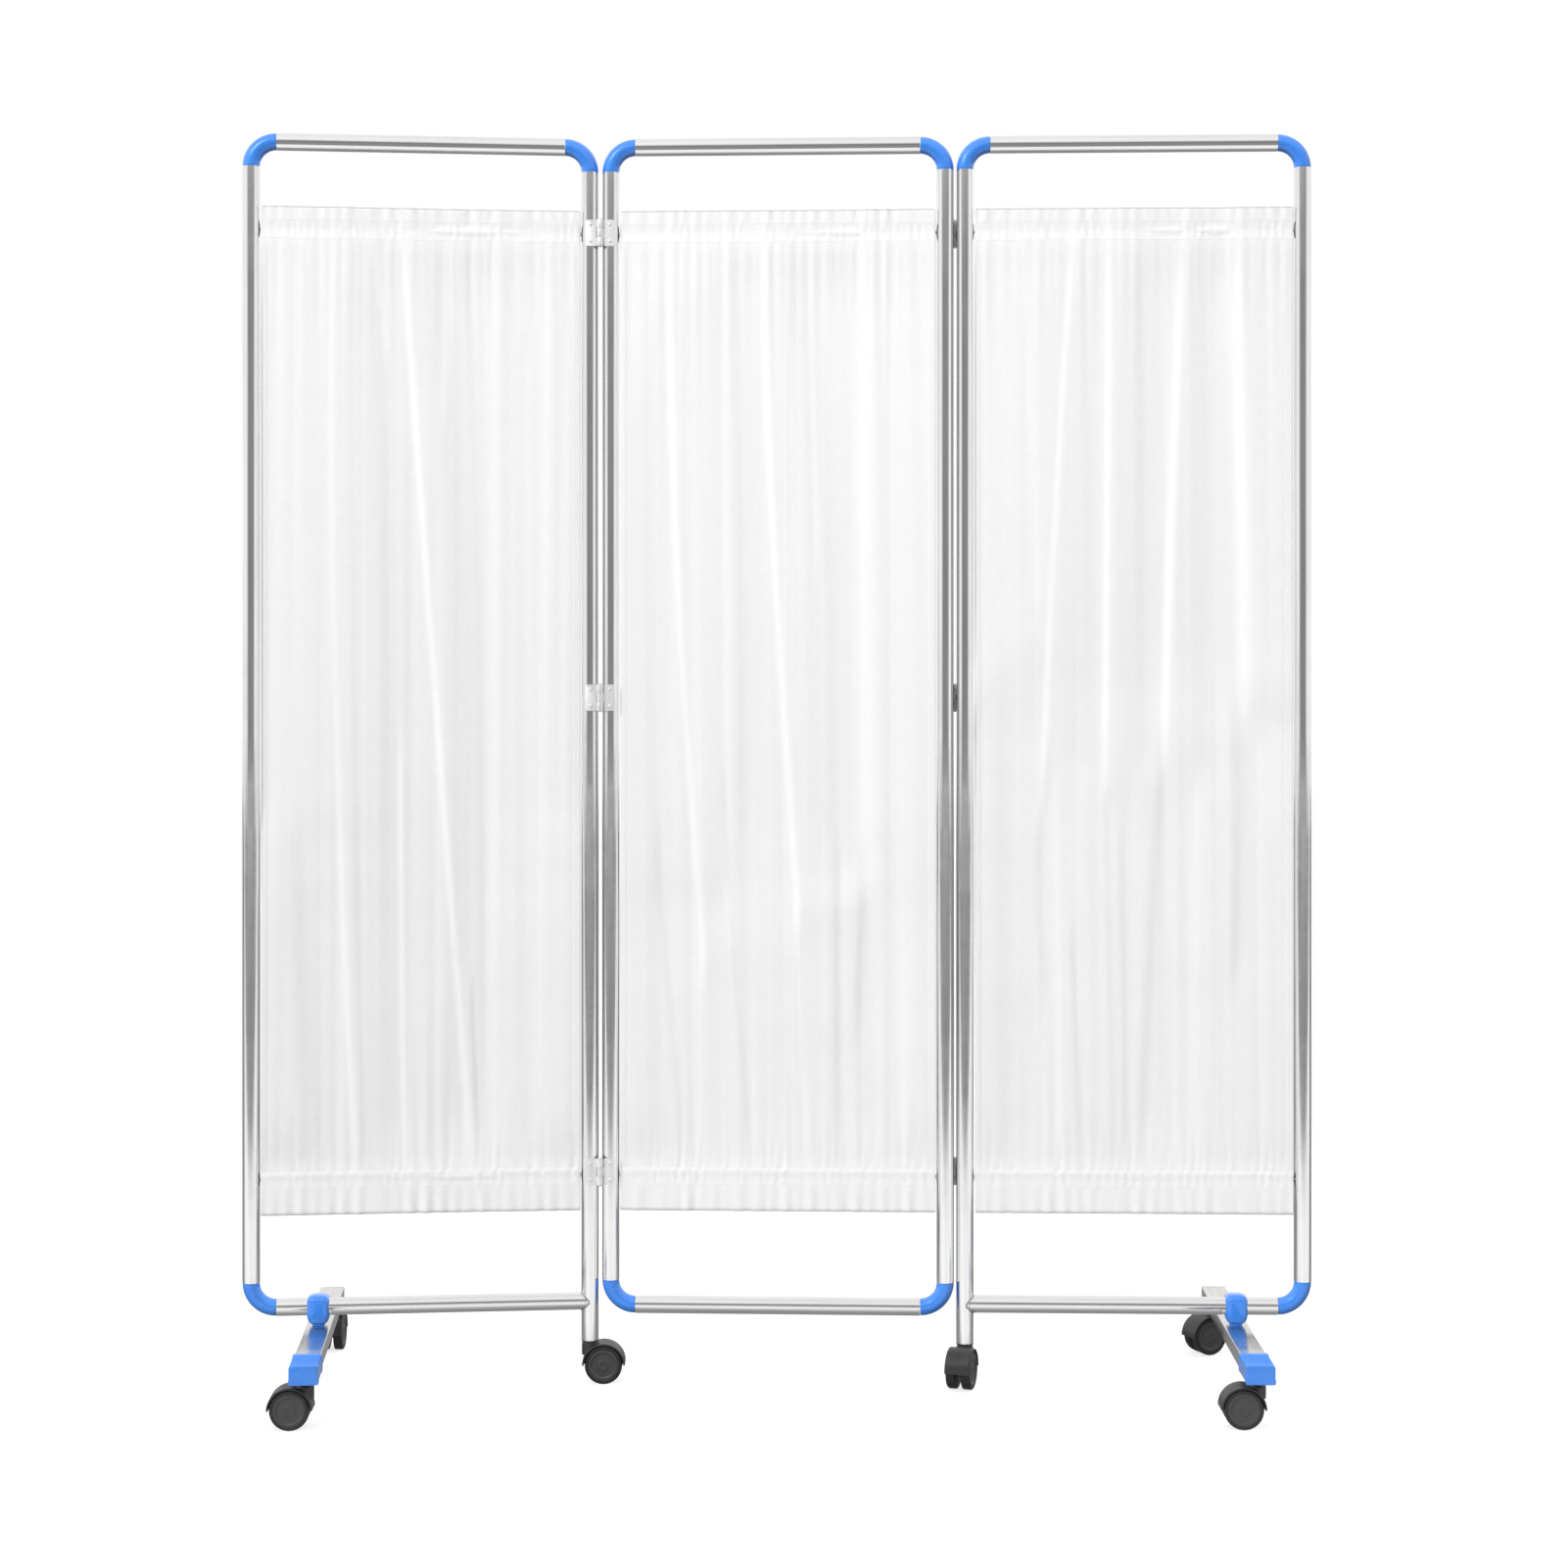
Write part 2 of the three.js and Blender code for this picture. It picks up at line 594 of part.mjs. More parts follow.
// innerSide is where the middle panel stands: 1 for the left panel, -1 for the right one
function outerPanel(panel, innerSide, hingeFace, turns) {
  const group = new THREE.Group();
  const half = uprightSpacing / 2;
  const railEnd = half - elbowBendRadius - seatGap;
  add(group, `${panel}_outer_upright`, outerUpright(innerSide), 'steel', [-innerSide * half, 0, 0]);
  const inner = hingedUpright(insertTop, innerSide, hingeFace, false);
  add(group, `${panel}_inner_upright`, inner, 'steel', [innerSide * half, 0, 0]);
  add(group, `${panel}_top_rail`, rail(-railEnd, railEnd), 'steel', [0, 0, topRailHeight]);
  add(group, `${panel}_bottom_rail`, copedRail(innerSide), 'steel', [0, 0, outerRailHeight]);
  addElbow(group, `${panel}_top_outer_elbow`, -innerSide, 1, topRailHeight);
  addElbow(group, `${panel}_top_inner_elbow`, innerSide, 1, topRailHeight);
  addElbow(group, `${panel}_bottom_outer_elbow`, -innerSide, -1, outerRailHeight);
  addCurtain(group, panel);
  add(group, `${panel}_castor_socket`, socketInsert(), 'black', [innerSide * half, 0, 0]);
  addCastor(group, `${panel}_inner`, innerSide * half, 0, turns.inner);
  addFoot(group, panel, innerSide * (footInset - half), turns.front, turns.rear);
  return group;
}

function middlePanel() {
  const group = new THREE.Group();
  const half = uprightSpacing / 2;
  const railEnd = half - elbowBendRadius - seatGap;
  const low = middleRailHeight + elbowBendRadius + seatGap;
  add(group, 'middle_left_upright', hingedUpright(low, -1, -1, true), 'steel', [-half, 0, 0]);
  add(group, 'middle_right_upright', hingedUpright(low, 1, 1, true), 'steel', [half, 0, 0]);
  add(group, 'middle_top_rail', rail(-railEnd, railEnd), 'steel', [0, 0, topRailHeight]);
  add(group, 'middle_bottom_rail', rail(-railEnd, railEnd), 'steel', [0, 0, middleRailHeight]);
  addElbow(group, 'middle_top_left_elbow', -1, 1, topRailHeight);
  addElbow(group, 'middle_top_right_elbow', 1, 1, topRailHeight);
  addElbow(group, 'middle_bottom_left_elbow', -1, -1, middleRailHeight);
  addElbow(group, 'middle_bottom_right_elbow', 1, -1, middleRailHeight);
  addCurtain(group, 'middle');
  for (const side of [-1, 1]) {
    const pair = side < 0 ? 'left' : 'right';
    const place = [side * (half + barrelSide), side * barrelOffset];
    for (const [level, height] of Object.entries(hingeHeights)) {
      add(group, `${pair}_${level}_hinge_pin`, hingePin(), 'steel', [...place, height]);
    }
  }
  return group;
}

// Hangs an outer panel on the middle panel's pins at its rest angle
function hungPanel(panel, innerSide, hingeFace, restDegrees, turns) {
  const hinge = new THREE.Group();
  hinge.position.set(-innerSide * (uprightSpacing / 2 + barrelSide), hingeFace * barrelOffset, 0);
  hinge.rotation.z = THREE.MathUtils.degToRad(restDegrees);
  const frame = outerPanel(panel, innerSide, hingeFace, turns);
  frame.position.set(-innerSide * (uprightSpacing / 2 + barrelSide), -hingeFace * barrelOffset, 0);
  hinge.add(frame);
  return hinge;
}

const middle = middlePanel();
middle.rotation.z = THREE.MathUtils.degToRad(middlePanelDegrees);
const leftTurns = { front: leftFrontDegrees, rear: leftRearDegrees, inner: leftInnerDegrees };
const rightTurns = { front: rightFrontDegrees, rear: rightRearDegrees, inner: rightInnerDegrees };
middle.add(hungPanel('left', 1, -1, leftPanelDegrees - middlePanelDegrees, leftTurns));
middle.add(hungPanel('right', -1, 1, rightPanelDegrees - middlePanelDegrees, rightTurns));

// The origin is on the floor, below the centre of the screen's bounding box
const screen = new THREE.Group();
screen.add(middle);
screen.updateMatrixWorld(true);
const bounds = new THREE.Box3().setFromObject(screen, true);
const centre = bounds.getCenter(new THREE.Vector3());
screen.position.set(-centre.x, -centre.y, 0);
screen.updateMatrixWorld(true);

export default screen;
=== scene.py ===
"""Looks of a three-fold ward privacy screen on castors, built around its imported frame.

Metres, +Z up, the front of the screen towards -Y, the floor at z = 0.
"""
import json
import math

import bmesh
import bpy
import numpy as np
from mathutils import Matrix, Vector


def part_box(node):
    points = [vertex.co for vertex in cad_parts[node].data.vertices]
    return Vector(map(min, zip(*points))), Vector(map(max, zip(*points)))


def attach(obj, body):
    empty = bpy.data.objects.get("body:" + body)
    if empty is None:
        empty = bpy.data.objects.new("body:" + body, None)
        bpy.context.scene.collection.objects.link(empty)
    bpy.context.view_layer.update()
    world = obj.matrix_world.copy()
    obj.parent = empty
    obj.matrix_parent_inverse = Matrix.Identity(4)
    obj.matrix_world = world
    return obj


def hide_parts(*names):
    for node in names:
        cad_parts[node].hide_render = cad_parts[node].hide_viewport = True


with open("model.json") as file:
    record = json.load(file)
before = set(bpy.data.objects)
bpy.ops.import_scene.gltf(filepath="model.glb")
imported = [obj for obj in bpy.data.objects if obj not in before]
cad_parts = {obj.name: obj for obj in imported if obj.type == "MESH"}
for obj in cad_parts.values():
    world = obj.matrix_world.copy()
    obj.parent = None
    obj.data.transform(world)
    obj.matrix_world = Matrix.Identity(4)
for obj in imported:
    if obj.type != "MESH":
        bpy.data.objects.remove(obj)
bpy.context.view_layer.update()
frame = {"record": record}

MM = 0.001
UP = Vector((0, 0, 1))

# Frame tube and corner elbows
HALF_SPACING = 242 * MM
TUBE_RADIUS = 12.5 * MM
TUBE_WALL = 1.2 * MM
TUBE_END_ROUND = 0.25 * MM
TUBE_SIDES = 56
ELBOW_RADIUS = 12 * MM
ELBOW_END_ROUND = 0.8 * MM
BEND_RADIUS = 36 * MM
SEAT_GAP = 0.3 * MM
RAIL_END = HALF_SPACING - BEND_RADIUS - SEAT_GAP
SEAM_RADIUS = 0.35 * MM
WELD_RADIUS = 1.3 * MM
WELD_MIN_REACH = 2 * MM
LEG_END = 61 * MM
LEG_RING = 1.8 * MM

# Hinges
BARREL_SIDE = 14 * MM
BARREL_DEPTH = 15.5 * MM
HINGE_HALF = 19 * MM
BORE_HALF = 24 * MM
KNUCKLE_HALF = 6.5 * MM
KNUCKLE_RADIUS = 4.5 * MM
PIN_RADIUS = 2 * MM
PIN_BORE = PIN_RADIUS + SEAT_GAP
PIN_HEAD = 3.5 * MM
PIN_CROWN = 1.5 * MM
KNUCKLE_PLAY = 0.15 * MM
KNUCKLE_CLEARANCE = 0.6 * MM
NOTCH_CORNER = 0.5 * MM
LEAF_REACH = 21 * MM
LEAF_THICKNESS = 2 * MM
LEAF_CORNER = 4 * MM
LEAF_CENTRE = 13 * MM
RIVET_RISE = 12 * MM
RIVET_RADIUS = 2.7 * MM
RIVET_HEIGHT = 1.5 * MM

# Curtain rods and curtains. A pair holds a value for the upper half and one for the lower half
ROD_RADIUS = 3 * MM
ROD_HALF_LENGTH = 236.5 * MM
CLOTH_HALF_WIDTH = 228 * MM
CLOTH_THICKNESS = 0.5 * MM
CLOTH_COLUMNS = 288
HANGING_ROWS = 84
POCKET_HALF = 13 * MM
POCKET_SWELL = 3.3 * MM
POCKET_ROUND = 0.8
POCKET_FULLNESS = 0.6 * MM
ROD_FULLNESS = 0.4 * MM
POCKET_ROOM = 3 * MM
ROD_ROOM = 0.3 * MM
LAYER_OFFSET = 0.5 * MM
TOP_SEAM_FORWARD = 4.4 * MM
BOTTOM_SEAM_FORWARD = 2.0 * MM
HEM_SEAM_FORWARD = 4.6 * MM
SEAM_FADE = (55 * MM, 200 * MM)
SEAM_HOLD = (0.45, 0.25)
HOLD_LENGTH = 70 * MM
FLARE = (0.6 * MM, 2.2 * MM)
FRILL_GATHER = 0.12 * MM
FRILL_FAN = 0.45 * MM
NEAR_LENGTH = 24 * MM
NEAR_GATHER = 0.4 * MM
FAR_LENGTH = 75 * MM
FAR_FAN = (0.8 * MM, 0.5 * MM)
POCKET_FAN = 0.25 * MM
EDGE_DROP = 5 * MM
FINE_SLOPE = 0.022
SOFT_SLOPE = 0.045
FOLD_FADE = 0.05
FOLD_LIMIT = 8 * MM
STITCH_LENGTH = 3.4 * MM
STITCH_GAP = 1.6 * MM
THREAD_RADIUS = 0.24 * MM
EDGE_ROLL_RADIUS = 0.9 * MM
SIDE_HEM = 9 * MM
SIDE_HEM_STEP = 0.8 * MM
SIDE_HEM_DEPTH = 0.35 * MM

# Foot
FOOT_BAR_WIDTH = 36 * MM
FOOT_BAR_HEIGHT = 22 * MM
FOOT_BAR_WALL = 1.5 * MM
FOOT_BAR_INSET = 46 * MM
FOOT_CAP_WIDTH = 40.6 * MM
FOOT_CAP_HEIGHT = 26.6 * MM
FOOT_CAP_LENGTH = 70 * MM
CAP_LIP = 9 * MM
CAP_TOE = 13 * MM
FOOT_REACH = 241 * MM
PLUG_COVER = 3 * MM
PLUG_CORE = 50 * MM
STEM_SPREAD = 205 * MM
BOSS_RADIUS = 12 * MM
CLAMP_WAIST = 16.6 * MM
CLAMP_NECK = 9 * MM
CLAMP_TOP = 135 * MM
CLAMP_DOME = 12 * MM
NECK_START = 2.5 * MM
NECK_END = 20 * MM

# Castor
CASTOR_TOP = 66 * MM
AXLE_TRAIL = 20 * MM
WHEEL_RADIUS = 27 * MM
TREAD_START = 22 * MM
HOOD_INNER = 28.4 * MM
HOOD_OUTER = 31 * MM
HOOD_HALF_WIDTH = 18 * MM
WEB_HALF = 4 * MM
WEB_OVERLAP = 0.8 * MM
AXLE_BOSS = 8 * MM
COLLAR_RADIUS = 10 * MM
COLLAR_FOOT = 12 * MM
COLLAR_LOW = 40 * MM
COLLAR_STEP = 60 * MM
STEM_RADIUS = 5 * MM
STEM_TOP = 85.7 * MM
LONG_CUT = 30 * MM


def middle_of(node):
    low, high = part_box(node)
    return (low + high) / 2


def facing(origin, along):
    """A place on the floor below origin, with X along the given direction."""
    along = Vector((along.x, along.y, 0)).normalized()
    place = Matrix((along, UP.cross(along), UP)).transposed().to_4x4()
    place.translation = (origin.x, origin.y, 0)
    return place


def panel_place(left_elbow, right_elbow):
    left, right = middle_of(left_elbow), middle_of(right_elbow)
    return facing((left + right) / 2, right - left)


PANELS = {
    "left": panel_place("left_top_outer_elbow", "left_top_inner_elbow"),
    "middle": panel_place("middle_top_left_elbow", "middle_top_right_elbow"),
    "right": panel_place("right_top_inner_elbow", "right_top_outer_elbow"),
}
INNER_SIDE = {"left": 1, "right": -1}
JOINTS = {joint["name"]: joint for joint in frame["record"]["behaviour"]["joints"]}
CASTORS = [f"{panel}_{spot}" for panel in INNER_SIDE for spot in ("front", "rear", "inner")]


def castor_place(castor):
    swivel = Vector(JOINTS[f"{castor}_swivel"]["pos_m"])
    axle = Vector(JOINTS[f"{castor}_roll"]["pos_m"])
    return facing(swivel, axle - swivel)


def shift(x, y, z):
    return Matrix.Translation((x, y, z))


def turn(degrees, axis):
    return Matrix.Rotation(math.radians(degrees), 4, axis)


# Node trees

FLOAT, VECTOR, SHAPE = "NodeSocketFloat", "NodeSocketVector", "NodeSocketGeometry"
SOCKET_OF = {float: FLOAT, int: "NodeSocketInt", bool: "NodeSocketBool"}


class Graph:
    """A node tree, with short ways to add nodes to it."""

    def __init__(self, tree):
        self.tree = tree

    def node(self, kind, inputs=None, **settings):
        """Adds a node and gives its outputs. inputs pairs a socket's name or number with a value or an output."""
        node = self.tree.nodes.new(kind)
        for setting, value in settings.items():
            setattr(node, setting, value)
        for key, value in (inputs or {}).items():
            if isinstance(value, bpy.types.NodeSocket):
                self.tree.links.new(value, node.inputs[key])
            else:
                node.inputs[key].default_value = value
        return node.outputs

    def add(self, kind, inputs=None, **settings):
        """Adds a node and gives its first output."""
        return self.node(kind, inputs, **settings)[0]

    def math(self, operation, a, b=0.0):
        return self.add("ShaderNodeMath", {0: a, 1: b}, operation=operation)

    def stretched(self, vector, factors):
        return self.add("ShaderNodeVectorMath", {0: vector, 1: factors}, operation="MULTIPLY")

    def parts(self, vector):
        return self.node("ShaderNodeSeparateXYZ", {0: vector})

    def noise(self, place, scale, detail=2.0, roughness=0.5):
        inputs = {"Vector": place, "Scale": scale, "Detail": detail, "Roughness": roughness}
        return self.add("ShaderNodeTexNoise", inputs)

    def remap(self, value, low, high, new_low=0.0, new_high=1.0):
        inputs = {"Value": value, "From Min": low, "From Max": high, "To Min": new_low, "To Max": new_high}
        return self.add("ShaderNodeMapRange", inputs)


class Group(Graph):
    """A node group. inputs pairs a name with its default, or with its type where it has none."""

    def __init__(self, name, kind, inputs):
        super().__init__(bpy.data.node_groups.new(name, kind))
        for socket, default in inputs.items():
            typed = isinstance(default, str)
            socket_type = default if typed else SOCKET_OF[type(default)]
            made = self.tree.interface.new_socket(socket, in_out="INPUT", socket_type=socket_type)
            if not typed:
                made.default_value = default
        self.given = self.node("NodeGroupInput")

    def __getitem__(self, socket):
        return self.given[socket]

    def close(self, socket_type, outputs):
        """Ends the group with its named outputs."""
        for socket in outputs:
            self.tree.interface.new_socket(socket, in_out="OUTPUT", socket_type=socket_type)
        self.node("NodeGroupOutput", outputs)
        return self.tree


class ShapeTree(Group):
    """A geometry tree with a Shape input, its named sizes and a Finish."""

    def __init__(self, name, sizes):
        super().__init__(name, "GeometryNodeTree", {"Shape": SHAPE, **sizes, "Finish": "NodeSocketMaterial"})

    def even_path(self, step):
        """The given shape's lines, cut into equal steps."""
        path = self.add("GeometryNodeMeshToCurve", {"Mesh": self["Shape"]})
        return self.add("GeometryNodeResampleCurve", {"Curve": path, "Length": step}, mode="LENGTH")

    def circle(self, radius):
        return self.add("GeometryNodeCurvePrimitiveCircle", {"Resolution": self["Sides"], "Radius": radius})

    def swept(self, path, section, **more):
        return self.finished("GeometryNodeCurveToMesh", {"Curve": path, "Profile Curve": section, **more})

    def finished(self, kind, inputs):
        """Ends the tree with one more node: real geometry, shaded smooth, with its finish."""
        real = self.add("GeometryNodeRealizeInstances", {"Geometry": self.add(kind, inputs)})
        smooth = self.add("GeometryNodeSetShadeSmooth", {"Geometry": real})
        done = self.add("GeometryNodeSetMaterial", {"Geometry": smooth, "Material": self["Finish"]})
        return self.close(SHAPE, {"Shape": done})


def drawn_tube_tree():
    """A hollow tube on Z from the floor up: its wall's section is carried round a circle."""
    sizes = {"Outer Radius": 0.01, "Wall": 0.001, "Length": 0.1, "End Round": 0.0002, "Sides": 32}
    g = ShapeTree("drawn_tube", sizes)
    path = g.circle(g.math("SUBTRACT", g["Outer Radius"], g.math("MULTIPLY", g["Wall"], 0.5)))
    wall = g.add("GeometryNodeCurvePrimitiveQuadrilateral", {"Width": g["Wall"], "Height": g["Length"]})
    section = g.add("GeometryNodeFilletCurve", {"Curve": wall, "Radius": g["End Round"]}, mode="POLY")
    tube = g.add("GeometryNodeCurveToMesh", {"Curve": path, "Profile Curve": section})
    rise = g.add("ShaderNodeCombineXYZ", {"Z": g.math("MULTIPLY", g["Length"], 0.5)})
    return g.finished("GeometryNodeTransform", {"Geometry": tube, "Translation": rise})


def corner_bend_tree():
    """A quarter bend in X and Z from a level end to a hanging one, slightly drawn in at its two rims."""
    g = ShapeTree("corner_bend", {"Bend Radius": 0.03, "Radius": 0.01, "Rim Round": 0.001, "Steps": 24, "Sides": 32})
    arc = g.add("GeometryNodeCurveArc", {
        "Resolution": g["Steps"], "Radius": g["Bend Radius"], "Start Angle": 0.0, "Sweep Angle": math.pi / 2,
    })
    along = g.node("GeometryNodeSplineParameter")["Length"]
    other = g.math("SUBTRACT", g.math("MULTIPLY", g["Bend Radius"], math.pi / 2), along)
    from_rim = g.math("SUBTRACT", g["Rim Round"], g.math("MINIMUM", along, other))
    missing = g.math("MULTIPLY", g.math("MAXIMUM", from_rim, 0.0), 0.5)
    scale = g.math("SUBTRACT", 1.0, g.math("DIVIDE", missing, g["Radius"]))
    return g.swept(arc, g.circle(g["Radius"]), **{"Scale": scale, "Fill Caps": True})


def bead_tree():
    """A round bead along each line of the given shape."""
    g = ShapeTree("bead_on_path", {"Radius": 0.001, "Step": 0.002, "Sides": 8, "Capped": True})
    return g.swept(g.even_path(g["Step"]), g.circle(g["Radius"]), **{"Fill Caps": g["Capped"]})


def stitch_tree():
    """Stitches along each line of the given shape."""
    g = ShapeTree("stitch_row", {"Stitch": 0.003, "Gap": 0.001, "Thread Radius": 0.0002})
    path = g.even_path(g.math("ADD", g["Stitch"], g["Gap"]))
    ball = g.add("GeometryNodeMeshUVSphere", {"Segments": 6, "Rings": 5, "Radius": 1.0})
    thread, half = g["Thread Radius"], g.math("MULTIPLY", g["Stitch"], 0.5)
    size = g.add("ShaderNodeCombineXYZ", {"X": thread, "Y": thread, "Z": half})
    tangent = g.add("GeometryNodeInputTangent")
    lie = g.add("FunctionNodeAlignRotationToVector", {"Vector": tangent}, axis="Z")
    inputs = {"Points": path, "Instance": ball, "Rotation": lie, "Scale": size}
    return g.finished("GeometryNodeInstanceOnPoints", inputs)


def rivet_tree():
    """A round rivet head on each point of the given shape, standing towards -Y."""
    g = ShapeTree("rivet_heads", {"Radius": 0.002, "Height": 0.001})
    ball = g.add("GeometryNodeMeshUVSphere", {"Segments": 24, "Rings": 12, "Radius": 1.0})
    size = g.add("ShaderNodeCombineXYZ", {"X": g["Radius"], "Y": g["Height"], "Z": g["Radius"]})
    return g.finished("GeometryNodeInstanceOnPoints", {"Points": g["Shape"], "Instance": ball, "Scale": size})


TUBE_TREE = drawn_tube_tree()
BEND_TREE = corner_bend_tree()
BEAD_TREE = bead_tree()
STITCH_TREE = stitch_tree()
RIVET_TREE = rivet_tree()


# Mesh shaping


def linked(name, data):
    """A new object in the scene."""
    obj = bpy.data.objects.new(name, data)
    bpy.context.scene.collection.objects.link(obj)
    return obj


def modified(mesh, kind, sockets=(), **settings):
    """The plain mesh that one modifier makes of a mesh. sockets pairs a tree's socket identifiers with values."""
    obj = linked("shaping", mesh)
    modifier = obj.modifiers.new("shaping", kind)
    for setting, value in settings.items():
        setattr(modifier, setting, value)
    for identifier, value in sockets:
        modifier[identifier] = value
    depsgraph = bpy.context.evaluated_depsgraph_get()
    result = bpy.data.meshes.new_from_object(obj.evaluated_get(depsgraph), depsgraph=depsgraph)
    bpy.data.objects.remove(obj)
    return result


def grown(tree, finish, values, source=None):
    """The plain mesh that a geometry tree makes from its named values."""
    values = {**values, "Finish": finish}
    inputs = [item for item in tree.interface.items_tree if item.in_out == "INPUT" and item.name in values]
    sockets = [(item.identifier, values[item.name]) for item in inputs]
    return modified(source or bpy.data.meshes.new("seed"), "NODES", sockets, node_group=tree)


def bevelled(mesh, width, segments=3):
    angles = {"limit_method": "ANGLE", "angle_limit": math.radians(40)}
    return modified(mesh, "BEVEL", width=width, segments=segments, harden_normals=True, **angles)


def combined(mesh, other, operation="UNION"):
    """One mesh joined with or cut by another."""
    tool = linked("tool", other)
    result = modified(mesh, "BOOLEAN", operation=operation, solver="EXACT", object=tool)
    bpy.data.objects.remove(tool)
    return result


def mesh_of(bm):
    mesh = bpy.data.meshes.new("shape")
    bm.to_mesh(mesh)
    bm.free()
    return mesh


def mesh_from(points, faces=(), edges=()):
    mesh = bpy.data.meshes.new("shape")
    mesh.from_pydata([tuple(point) for point in points], list(edges), list(faces))
    return mesh


def line_mesh(lines, closed=False):
    """Lines of points as one mesh of edges."""
    points, edges = [], []
    for line in lines:
        first, count = len(points), len(line)
        edges += [(first + i, first + (i + 1) % count) for i in range(count if closed else count - 1)]
        points += list(line)
    return mesh_from(points, edges=edges)


def lofted(rings, closed=False):
    """Faces from each ring of points to the next. Closed rings end where they began, and others get end faces.
    A ring may be a single pole."""
    bm = bmesh.new()
    rings = [[bm.verts.new(point) for point in ring] for ring in rings]
    for low, high in zip(rings, rings[1:] + rings[:1] if closed else rings[1:]):
        count = max(len(low), len(high))
        for i in range(count):
            j = (i + 1) % count
            if len(low) == 1:
                bm.faces.new((low[0], high[i], high[j]))
            elif len(high) == 1:
                bm.faces.new((low[i], low[j], high[0]))
            else:
                bm.faces.new((low[i], low[j], high[j], high[i]))
    for ring in () if closed else (rings[0], rings[-1]):
        if len(ring) > 1:
            bm.faces.new(ring)
    bmesh.ops.recalc_face_normals(bm, faces=bm.faces)
    return mesh_of(bm)


def circle_angles(count):
    return [2 * math.pi * i / count for i in range(count)]


def turned(profile, sides, closed=False):
    """Pairs of radius and height turned about Z. A closed profile is a ring's section."""
    rings = []
    for radius, height in profile:
        angles = circle_angles(sides if radius > 1e-7 else 1)
        rings.append([(radius * math.cos(a), radius * math.sin(a), height) for a in angles])
    return lofted(rings, closed)


def mirrored(half):
    """A profile or an outline from its upper half."""
    return [(x, -y) for x, y in reversed(half)] + half


def rounded(points, radius, steps=4, closed=True):
    """A flat outline with its corners rounded. radius is one number, or one for each corner."""
    count = len(points)
    radii = radius if isinstance(radius, (list, tuple)) else [radius] * count
    result = []
    for i, (point, corner) in enumerate(zip(points, radii)):
        if corner <= 0 or (not closed and i in (0, count - 1)):
            result.append(tuple(point))
            continue
        here = Vector(point)
        back, ahead = Vector(points[i - 1]) - here, Vector(points[(i + 1) % count]) - here
        reach = min(corner / math.tan(back.angle(ahead) / 2), 0.49 * back.length, 0.49 * ahead.length)
        start, stop = here + back.normalized() * reach, here + ahead.normalized() * reach
        for k in range(steps + 1):
            share = k / steps
            result.append(tuple(start.lerp(here, share).lerp(here.lerp(stop, share), share)))
    return result


def oblong(width, height, radius, steps):
    x, y = width / 2, height / 2
    return rounded([(-x, -y), (x, -y), (x, y), (-x, y)], radius, steps)


def extruded(outline, low, high):
    """A prism of an outline in X and Z, along Y."""
    return lofted([[(x, y, z) for x, z in outline] for y in (low, high)])


def post(radius, low, high, sides=40, edge=0.0):
    """A solid round post on Z with rounded rims."""
    profile = [(0, low), (radius, low), (radius, high), (0, high)]
    return turned(rounded(profile, [0, edge, edge, 0], 3, closed=False), sides)


def placed(mesh, place):
    mesh.transform(place)
    return mesh


def gathered_meshes(parts):
    """Several meshes as one, each moved to its own place. parts pairs a mesh with a place."""
    bm = bmesh.new()
    for mesh, place in parts:
        copy = placed(mesh.copy(), place)
        bm.from_mesh(copy)
        bpy.data.meshes.remove(copy)
    return mesh_of(bm)


# Effects that several finishes share


def effect(name, inputs):
    return Group(name, "ShaderNodeTree", inputs)


def drawn_grain_effect():
    """Fine lines along Z, left by drawing and polishing."""
    g = effect("drawn_grain", {"Place": VECTOR, "Fineness": 1500.0, "Line Length": 0.1})
    slow = g.math("DIVIDE", 1.0, g["Line Length"])
    factors = g.add("ShaderNodeCombineXYZ", {"X": g["Fineness"], "Y": g["Fineness"], "Z": slow})
    along = g.stretched(g["Place"], factors)
    streaks = g.noise(g.stretched(along, (0.12, 0.12, 0.5)), 1.0)
    return g.close(FLOAT, {"Height": g.noise(along, 1.0, 3.0, 0.6), "Streak": g.remap(streaks, 0.3, 0.7)})


def handling_effect():
    """Cloudy marks from hands and wiping, and sparse short scuffs."""
    g = effect("handling_marks", {"Place": VECTOR, "Cloud Scale": 18.0, "Scuff Scale": 160.0})
    cloud = g.noise(g["Place"], g["Cloud Scale"], 4.0, 0.6)
    speck = g.noise(g["Place"], g["Scuff Scale"], 3.0, 0.65)
    return g.close(FLOAT, {"Cloud": g.remap(cloud, 0.35, 0.7), "Scuff": g.remap(speck, 0.62, 0.72)})


def moulded_effect():
    """The fine skin of moulded plastic and its faint flow marks."""
    g = effect("moulded_skin", {"Place": VECTOR, "Grain Scale": 2500.0})
    flow = g.remap(g.noise(g["Place"], 35.0, 3.0), 0.3, 0.7)
    return g.close(FLOAT, {"Height": g.noise(g["Place"], g["Grain Scale"]), "Flow": flow})


def dust_effect():
    """Dust that settles on what faces up."""
    g = effect("settled_dust", {"Place": VECTOR, "Amount": 0.3})
    upward = g.remap(g.parts(g.node("ShaderNodeNewGeometry")["Normal"])["Z"], 0.1, 1.0)
    patches = g.remap(g.noise(g["Place"], 90.0, 5.0, 0.7), 0.35, 0.75, 0.2)
    return g.close(FLOAT, {"Mask": g.math("MULTIPLY", g.math("MULTIPLY", upward, patches), g["Amount"])})


